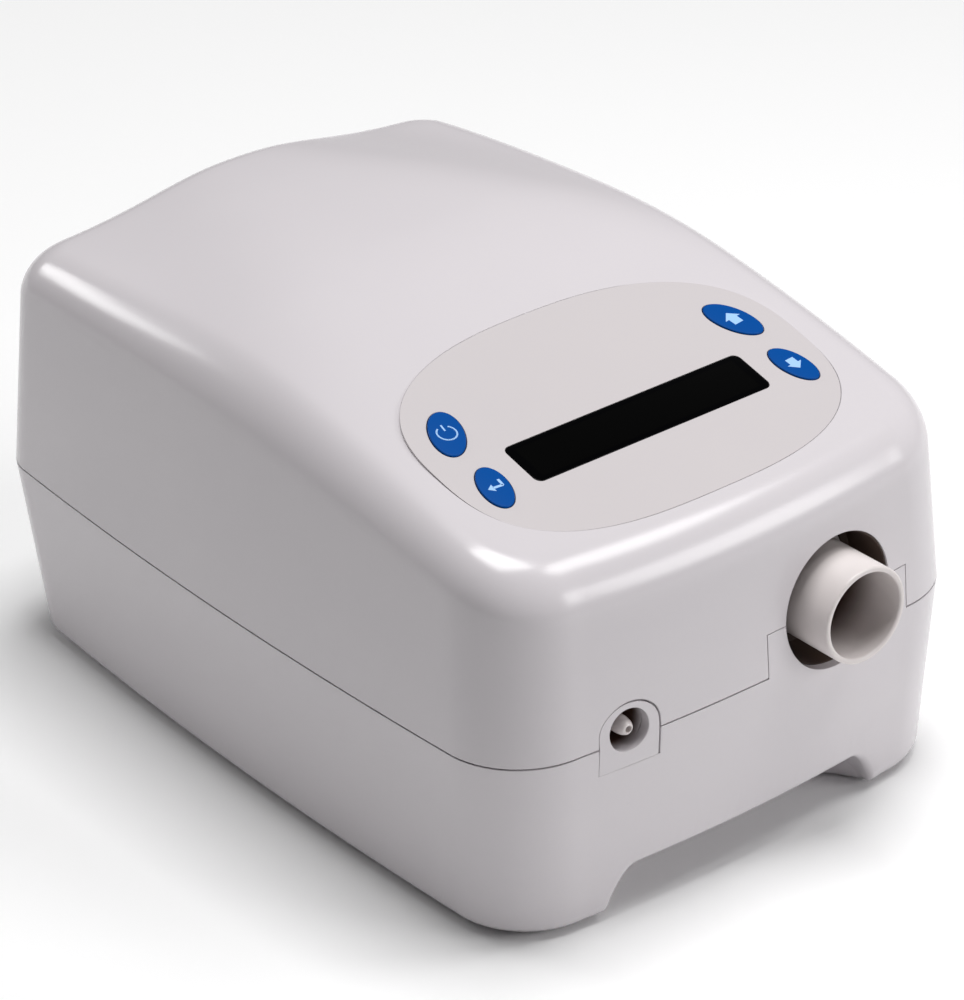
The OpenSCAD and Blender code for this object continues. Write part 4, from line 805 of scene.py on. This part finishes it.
# ---- Upper housing ----
# The domed lid of the same plastic: steep drafted walls, a soft rounding under the top, a
# hump down the middle that narrows to the back, and a flat slope for the key panel.
TOP_ROUND, CREST_Z, CREST_Y = 10.0, 98.4, 43.0
PANEL_Y, PANEL_Z, PANEL_TILT = -55.5, 91.65, math.radians(14.6)
SLOPE = math.tan(PANEL_TILT)
EASE_Y, EASE_LENGTH = PANEL_Y + 41.6 * math.cos(PANEL_TILT), 40.0
EDGE_FRONT_RADIUS, EDGE_REAR_RADIUS, HUMP_REAR_RADIUS = 650, 530, 500
HUMP_REAR, HUMP_PANEL, HUMP_REAR_POWER, HUMP_PANEL_POWER = 29, 80, 2.5, 5


def edge_height(y):
    """The top's height along its edges"""
    radius = EDGE_FRONT_RADIUS if y < CREST_Y else EDGE_REAR_RADIUS
    return CREST_Z - (y - CREST_Y) ** 2 / (2 * radius)


def middle_height(y):
    """The top's height along its middle: the panel's slope, an easing and the fall to the back"""
    reach = min(y, EASE_Y + EASE_LENGTH)
    sloped = PANEL_Z + SLOPE * (reach - PANEL_Y)
    easing = SLOPE * max(0, reach - EASE_Y) ** 2 / (2 * EASE_LENGTH)
    return sloped - easing - (y - reach) ** 2 / (2 * HUMP_REAR_RADIUS)


def top_height(x, y):
    """The top's height anywhere: a hump over its middle that widens from the back to the panel"""
    way = min(2, max(0, (BACK - TOP_ROUND - y) / (BACK - TOP_ROUND - EASE_Y)))
    ease = min(1, way) ** 2 * (3 - 2 * min(1, way))
    half = HUMP_REAR + (HUMP_PANEL - HUMP_REAR) * way
    power = HUMP_REAR_POWER + (HUMP_PANEL_POWER - HUMP_REAR_POWER) * ease
    share = lambda x: 1 / (1 + abs(x / half) ** power)
    hump = max(0, (share(x) - share(HALF_WIDTH)) / (1 - share(HALF_WIDTH)))
    return edge_height(y) + (middle_height(y) - edge_height(y)) * hump


def rounding(i, turn, radius, wall):
    """A point on the rounding under the top, from 0 on the wall to a quarter turn on top"""
    inset = wall + radius * (1 - math.cos(turn))
    point = outline(i, CREST_Z, inset)
    for _ in range(4):
        z = top_height(point.x, point.y) - wall - radius * (1 - math.sin(turn))
        point = outline(i, z, inset)
    return point


def round_row(turn, radius, wall=0.0):
    return lambda i: rounding(i, turn, radius, wall)


def top_row(share, radius, wall=0.0):
    def point(i):
        rim = rounding(i, math.pi / 2, radius, wall)
        x, y = rim.x * share, rim.y * share
        return Vector((x, y, top_height(x, y) - wall))
    return point


def on_panel(form, x=0.0, y=0.0, turn=0.0):
    """Sets a form on the key panel, with its Z out of the panel, from the display's middle"""
    bmesh.ops.transform(form, verts=form.verts, matrix=Matrix.Translation((0, PANEL_Y, PANEL_Z))
                        @ Matrix.Rotation(PANEL_TILT, 4, "X") @ Matrix.Translation((x, y, 0))
                        @ Matrix.Rotation(math.radians(turn), 4, "Z"))
    return form


OVAL_WIDE, OVAL_TALL, OVAL_Y, OVAL_STEPS, OVAL_GAP = 48.7, 32.2, 6.4, 144, 0.08
OVAL_ABOVE, OVAL_BELOW, FILM_THICK = 2.5, 2.9, 0.5


def oval(grow, low, high):
    """The overlay's outline: a fuller oval below than above"""
    points = []
    for step in range(OVAL_STEPS):
        turn = 2 * math.pi * step / OVAL_STEPS
        power = 2 / (OVAL_ABOVE if math.sin(turn) > 0 else OVAL_BELOW)
        x, y = (math.copysign(abs(part) ** power, part) for part in (math.cos(turn),
                                                                     math.sin(turn)))
        points.append((x * (OVAL_WIDE + grow), OVAL_Y + y * (OVAL_TALL + grow)))
    return prism(points, low, high)


WINDOW_WIDE, WINDOW_TALL, WINDOW_CORNER = 31.65, 6.1, 1.8


def window(grow, low, high):
    """The display's opening, with rounded corners"""
    wide, tall = WINDOW_WIDE + grow, WINDOW_TALL + grow
    form = box((-wide, -tall, low), (wide, tall, high))
    return eased(form, edges_along(form, 2), WINDOW_CORNER, 8)


KEYS = {"power": (-38.7, 15.2, -25, 1.0), "enter": (-40.3, -2.8, -14, 0.9),
        "up": (38.7, 15.2, 25, 1.0), "down": (40.3, -2.8, 14, 0.9)}
KEY_WIDE, KEY_LONG, KEY_GAP = 3.8, 7.0, 0.2
ROUND_STEPS, TOP_STEPS, LINING_STEPS = 16, 26, 8
PILLAR_X, PILLAR_Y, PILLAR_RADIUS, PILLAR_FOOT = (-28, 28), (-17, 21.5), 2.6, -14
PILLAR_HOLE, PILLAR_HOLE_TOP, LID_BOSS_RADIUS, LID_BOSS_HOLE, WEB_HALF = 1.2, -6.5, 4.5, 1.6, 0.8


def key_hole(key, grow, low, high):
    x, y, turn, size = KEYS[key]
    form = rod(1, low, high, 72)
    bmesh.ops.scale(form, vec=(KEY_WIDE * size + grow, KEY_LONG * size + grow, 1),
                   verts=form.verts)
    return on_panel(form, x, y, turn)


rows = [wall_row(SEAM + SEAM_GAP + 0.15), wall_row(SEAM + 6), wall_row(SEAM + 16),
        wall_row(SEAM + 26)]
rows += [round_row(math.pi / 2 * k / ROUND_STEPS, TOP_ROUND) for k in range(ROUND_STEPS + 1)]
rows += [top_row(1 - k / TOP_STEPS, TOP_ROUND) for k in range(1, TOP_STEPS)]
rows += [lambda i: Vector((0, 0, top_height(0, 0))),
         lambda i: Vector((0, 0, top_height(0, 0) - WALL))]
rows += [top_row(k / LINING_STEPS, TOP_ROUND - WALL, WALL) for k in range(1, LINING_STEPS)]
rows += [round_row(math.pi / 2 * (1 - k / 5), TOP_ROUND - WALL, WALL) for k in range(6)]
rows += [wall_row(SEAM + 1.2, WALL), wall_row(SEAM + 1.2, 1.15),
         wall_row(SEAM + SEAM_GAP, 1.15), wall_row(SEAM + SEAM_GAP, 0.15),
         wall_row(SEAM + SEAM_GAP + 0.15)]
upper = cut(closed_skin(rows), tab_block(0.2), outlet_well(), *port_cuts(),
            on_panel(oval(OVAL_GAP, -FILM_THICK, 4)), on_panel(window(0, -6, 4)),
            *(key_hole(key, KEY_GAP, -6, 4) for key in KEYS))
for x, y in SHELL_SCREWS:
    high = top_height(x, y) - 6
    reach = math.copysign(HALF_WIDTH - drawn_in(high - 9, HIGH_DRAFT, LOW_DRAFT)
                          - SIDE_BOW * (y / FRONT) ** 2 - WALL / 2, x)
    boss = cut(placed(rod(LID_BOSS_RADIUS, SEAM, high, 40), (x, y, 0)),
               placed(rod(LID_BOSS_HOLE, 30, SEAM + 15, 32), (x, y, 0)))
    web = box((min(x, reach), y - WEB_HALF, SEAM + 2), (max(x, reach), y + WEB_HALF, high - 9))
    upper = joined(upper, boss, web)
for x in PILLAR_X:
    for y in PILLAR_Y:
        pillar = cut(rod(PILLAR_RADIUS, PILLAR_FOOT, -1.7, 40),
                     rod(PILLAR_HOLE, PILLAR_FOOT - 1, PILLAR_HOLE_TOP, 32))
        upper = joined(upper, on_panel(pillar, x, y))
piece(upper, "upper_housing", "machine", "housing", housing, "upper_shell")

# ---- Display ----
# A liquid-crystal module held under the panel, and a pane of smoked acrylic over it that
# looks black while the display is dark.
pane = window(-0.1, -1.6, -0.02)
pane = eased(pane, edges_on_top(pane, 2), 0.15, 3)
glass = Finish("glass", Roughness=0.06, IOR=1.49, Specular_IOR_Level=0.12)
CELL_WIDE, CELL_TALL = 29.5, 4.6
within_x = 1 - abs(glass.place.part("X") / CELL_WIDE).rising(0.985, 1.0)
within_y = 1 - abs((glass.place.part("Y") - PANEL_Y) / CELL_TALL).rising(0.96, 1.0)
cell = within_x * within_y
smear = glass.noise(9, 4.0, (2, 1, 1))
glass.feed(Base_Color=glass.mix(cell, paint(2, 2, 3), paint(4, 4, 4)),
           Roughness=0.04 + 0.06 * smear)
piece(on_panel(pane), "display_pane", "machine", "display_glass", glass, "display_window")
plated = metal("plated", paint(176, 178, 182), paint(150, 152, 156), 0.3)
dress(plated, "display_module")

# ---- Ribbon cable and leads ----
# A flat grey ribbon joins the key board to the main board. A red lead feeds the motor and a
# blue one brings the mains in. All of them stay inside.
ribbon = Finish("ribbon", Roughness=0.45)
ridges_and_shade = ribbon.place.part("X").ribs(1.27)
# The ribbon is painted lighter over each wire and darker in the grooves between them: painted
# highlight and painted shade.
ribbon.feed(Base_Color=ribbon.mix(ridges_and_shade, paint(112, 114, 118), paint(158, 160, 164)),
            Roughness=0.38 + 0.14 * ridges_and_shade)
ribbon.relief(ridges_and_shade, 0.3, 0.7)
dress(ribbon, "ribbon_cable")
red_lead = moulded("red_lead", paint(176, 44, 36), paint(158, 36, 30), 0.4, 0.8)
dress(red_lead, "motor_lead")
blue_lead = moulded("blue_lead", paint(44, 78, 136), paint(36, 66, 118), 0.4, 0.8)
dress(blue_lead, "mains_lead")

# ---- Overlay ----
# A half-millimetre polycarbonate sheet, printed pale grey on its back and stuck into an
# oval seat on the panel. It has a velvet face, and is cut out for the display and the keys.
film = Finish("film", Roughness=0.34, IOR=1.58)
tooth = film.noise(0.35, 3.0)
tone = film.noise(30, 2.0)
film.feed(Base_Color=film.mix(tone * 0.6 + tooth * 0.4, paint(200, 194, 196),
                              paint(205, 199, 200)), Roughness=0.3 + 0.08 * tooth)
film.relief(tooth, 0.008, 0.3, 0.12)
sheet = on_panel(oval(0, -FILM_THICK, 0))
sheet = cut(sheet, on_panel(window(0, -2, 2)), *(key_hole(key, KEY_GAP, -2, 2) for key in KEYS))
piece(sheet, "overlay_sheet", "machine", "overlay", film, "control_overlay")

# ---- Keys ----
# Four oval caps of blue acetal, each moulded with the flange that keeps it in and the stem
# that presses its switch. Their pale signs are pad-printed.
blue = moulded("blue", paint(0, 78, 156), paint(0, 70, 146), 0.36, 0.35, 0.2)
blue.shader.inputs["Specular IOR Level"].default_value = 0.1
print_white = moulded("print_white", paint(168, 208, 250), paint(156, 198, 244), 0.4, 0.2, 0.0)


def stroke(points, width, low, high):
    """A printed line of even width along points"""
    forms = []
    for (x0, y0), (x1, y1) in zip(points, points[1:]):
        along = Vector((x1 - x0, y1 - y0)).normalized()
        side = Vector((-along.y, along.x)) * width / 2
        along *= width * 0.12
        forms.append(prism([(x0 - along.x + side.x, y0 - along.y + side.y),
                            (x0 - along.x - side.x, y0 - along.y - side.y),
                            (x1 + along.x - side.x, y1 + along.y - side.y),
                            (x1 + along.x + side.x, y1 + along.y + side.y)], low, high))
    return forms


def arc(radius, start, end):
    turns = (math.radians(start + (end - start) * k / 28) for k in range(29))
    return [(radius * math.cos(turn), radius * math.sin(turn)) for turn in turns]


ARROW = [(0, 1.9), (2.0, 0.1), (1.1, 0.1), (1.1, -1.6), (-1.1, -1.6), (-1.1, 0.1), (-2.0, 0.1)]
SIGNS = {
    "power": lambda low, high: stroke(arc(1.9, 125, 415), 0.34, low, high)
    + stroke([(0, 0.7), (0, 2.3)], 0.34, low, high),
    "enter": lambda low, high: stroke([(1.7, 1.5), (1.7, -0.3), (-0.6, -0.3)], 0.6, low, high)
    + [prism([(-0.5, 0.75), (-1.9, -0.3), (-0.5, -1.35)], low, high)],
    "up": lambda low, high: [prism(ARROW, low, high)],
    "down": lambda low, high: [prism([(x, -y) for x, y in reversed(ARROW)], low, high)],
}
CAP_FOOT, FLANGE_Z, FLANGE_REACH, KEY_STEM_RADIUS, KEY_STEM_FOOT = -2.9, -3.7, 1.2, 2, -9.4
CAP = [(0, CAP_FOOT), (1, CAP_FOOT), (1, 0.12), (0.96, 0.33), (0.72, 0.38), (0, 0.4)]
SIGN_SIZE, PRINT_HEIGHTS = 1.12, (0.34, 0.42)
for key, (x, y, turn, size) in KEYS.items():
    cap = turned(CAP, 0.0, 96)
    bmesh.ops.scale(cap, vec=(KEY_WIDE * size, KEY_LONG * size, 1), verts=cap.verts)
    flange = rod(1, FLANGE_Z, CAP_FOOT + 0.1, 64)
    bmesh.ops.scale(flange, vec=(KEY_WIDE * size + FLANGE_REACH, KEY_LONG * size + FLANGE_REACH,
                                 1), verts=flange.verts)
    cap = joined(cap, flange, rod(KEY_STEM_RADIUS, KEY_STEM_FOOT, FLANGE_Z + 0.1, 40))
    piece(on_panel(cap, x, y, turn), key + "_key_cap", key + "_key", "key_blue", blue,
          key + "_button")
    sign = together(*SIGNS[key](*PRINT_HEIGHTS))
    bmesh.ops.scale(sign, vec=(size * SIGN_SIZE, size * SIGN_SIZE, 1), verts=sign.verts)
    piece(on_panel(sign, x, y, turn * 0.3), key + "_sign", key + "_key", "key_blue",
          print_white)

# ---- Housing screws ----
# Four pan-head screws go up through the lower housing's bosses and bite in the upper's.
dress(screw_steel, "shell_screws")

# ---- Studio ----
# The machine stands on plain white paper under four soft boxes: a wide one overhead, one in
# front, a small one for the shine and one behind. Its left side stays in shade.
floor = bmesh.new()
bmesh.ops.create_grid(floor, x_segments=4, y_segments=4, size=30)
floor_mesh = bpy.data.meshes.new("floor")
floor.to_mesh(floor_mesh)
floor.free()
paper = Finish("paper", Roughness=0.9)
mottle = paper.noise(400, 2.0)
paper.feed(Base_Color=paper.mix(mottle, paint(250, 250, 250), paint(254, 254, 254)))
floor_mesh.materials.append(paper.material)
floor_piece = bpy.data.objects.new("floor", floor_mesh)
bpy.context.collection.objects.link(floor_piece)
world = bpy.data.worlds.new("room")
world.use_nodes = True
backdrop = world.node_tree.nodes["Background"]
backdrop.inputs["Color"].default_value = (1, 1, 1, 1)
backdrop.inputs["Strength"].default_value = 0.08
bpy.context.scene.world = world
bpy.context.scene.view_settings.view_transform = "Standard"


def soft_box(name, at, aim, width, height, power):
    lamp = bpy.data.lights.new(name, "AREA")
    lamp.shape, lamp.size, lamp.size_y, lamp.energy = "RECTANGLE", width, height, power
    holder = bpy.data.objects.new(name, lamp)
    holder.location = at
    holder.rotation_euler = (Vector(aim) - Vector(at)).to_track_quat("-Z", "Y").to_euler()
    bpy.context.collection.objects.link(holder)


soft_box("overhead", (0.14, 0.0, 1.5), (0.05, 0, 0), 0.7, 0.7, 17.5)
soft_box("front", (0.7, -1.05, 0.5), (0, 0, 0.05), 0.5, 0.4, 4.2)
soft_box("spot", (0.24, -0.24, 0.52), (-0.03, -0.08, 0.08), 0.14, 0.14, 0.6)
soft_box("rear", (-0.38, 1.05, 0.58), (0, 0, 0.09), 0.4, 0.22, 2.2)
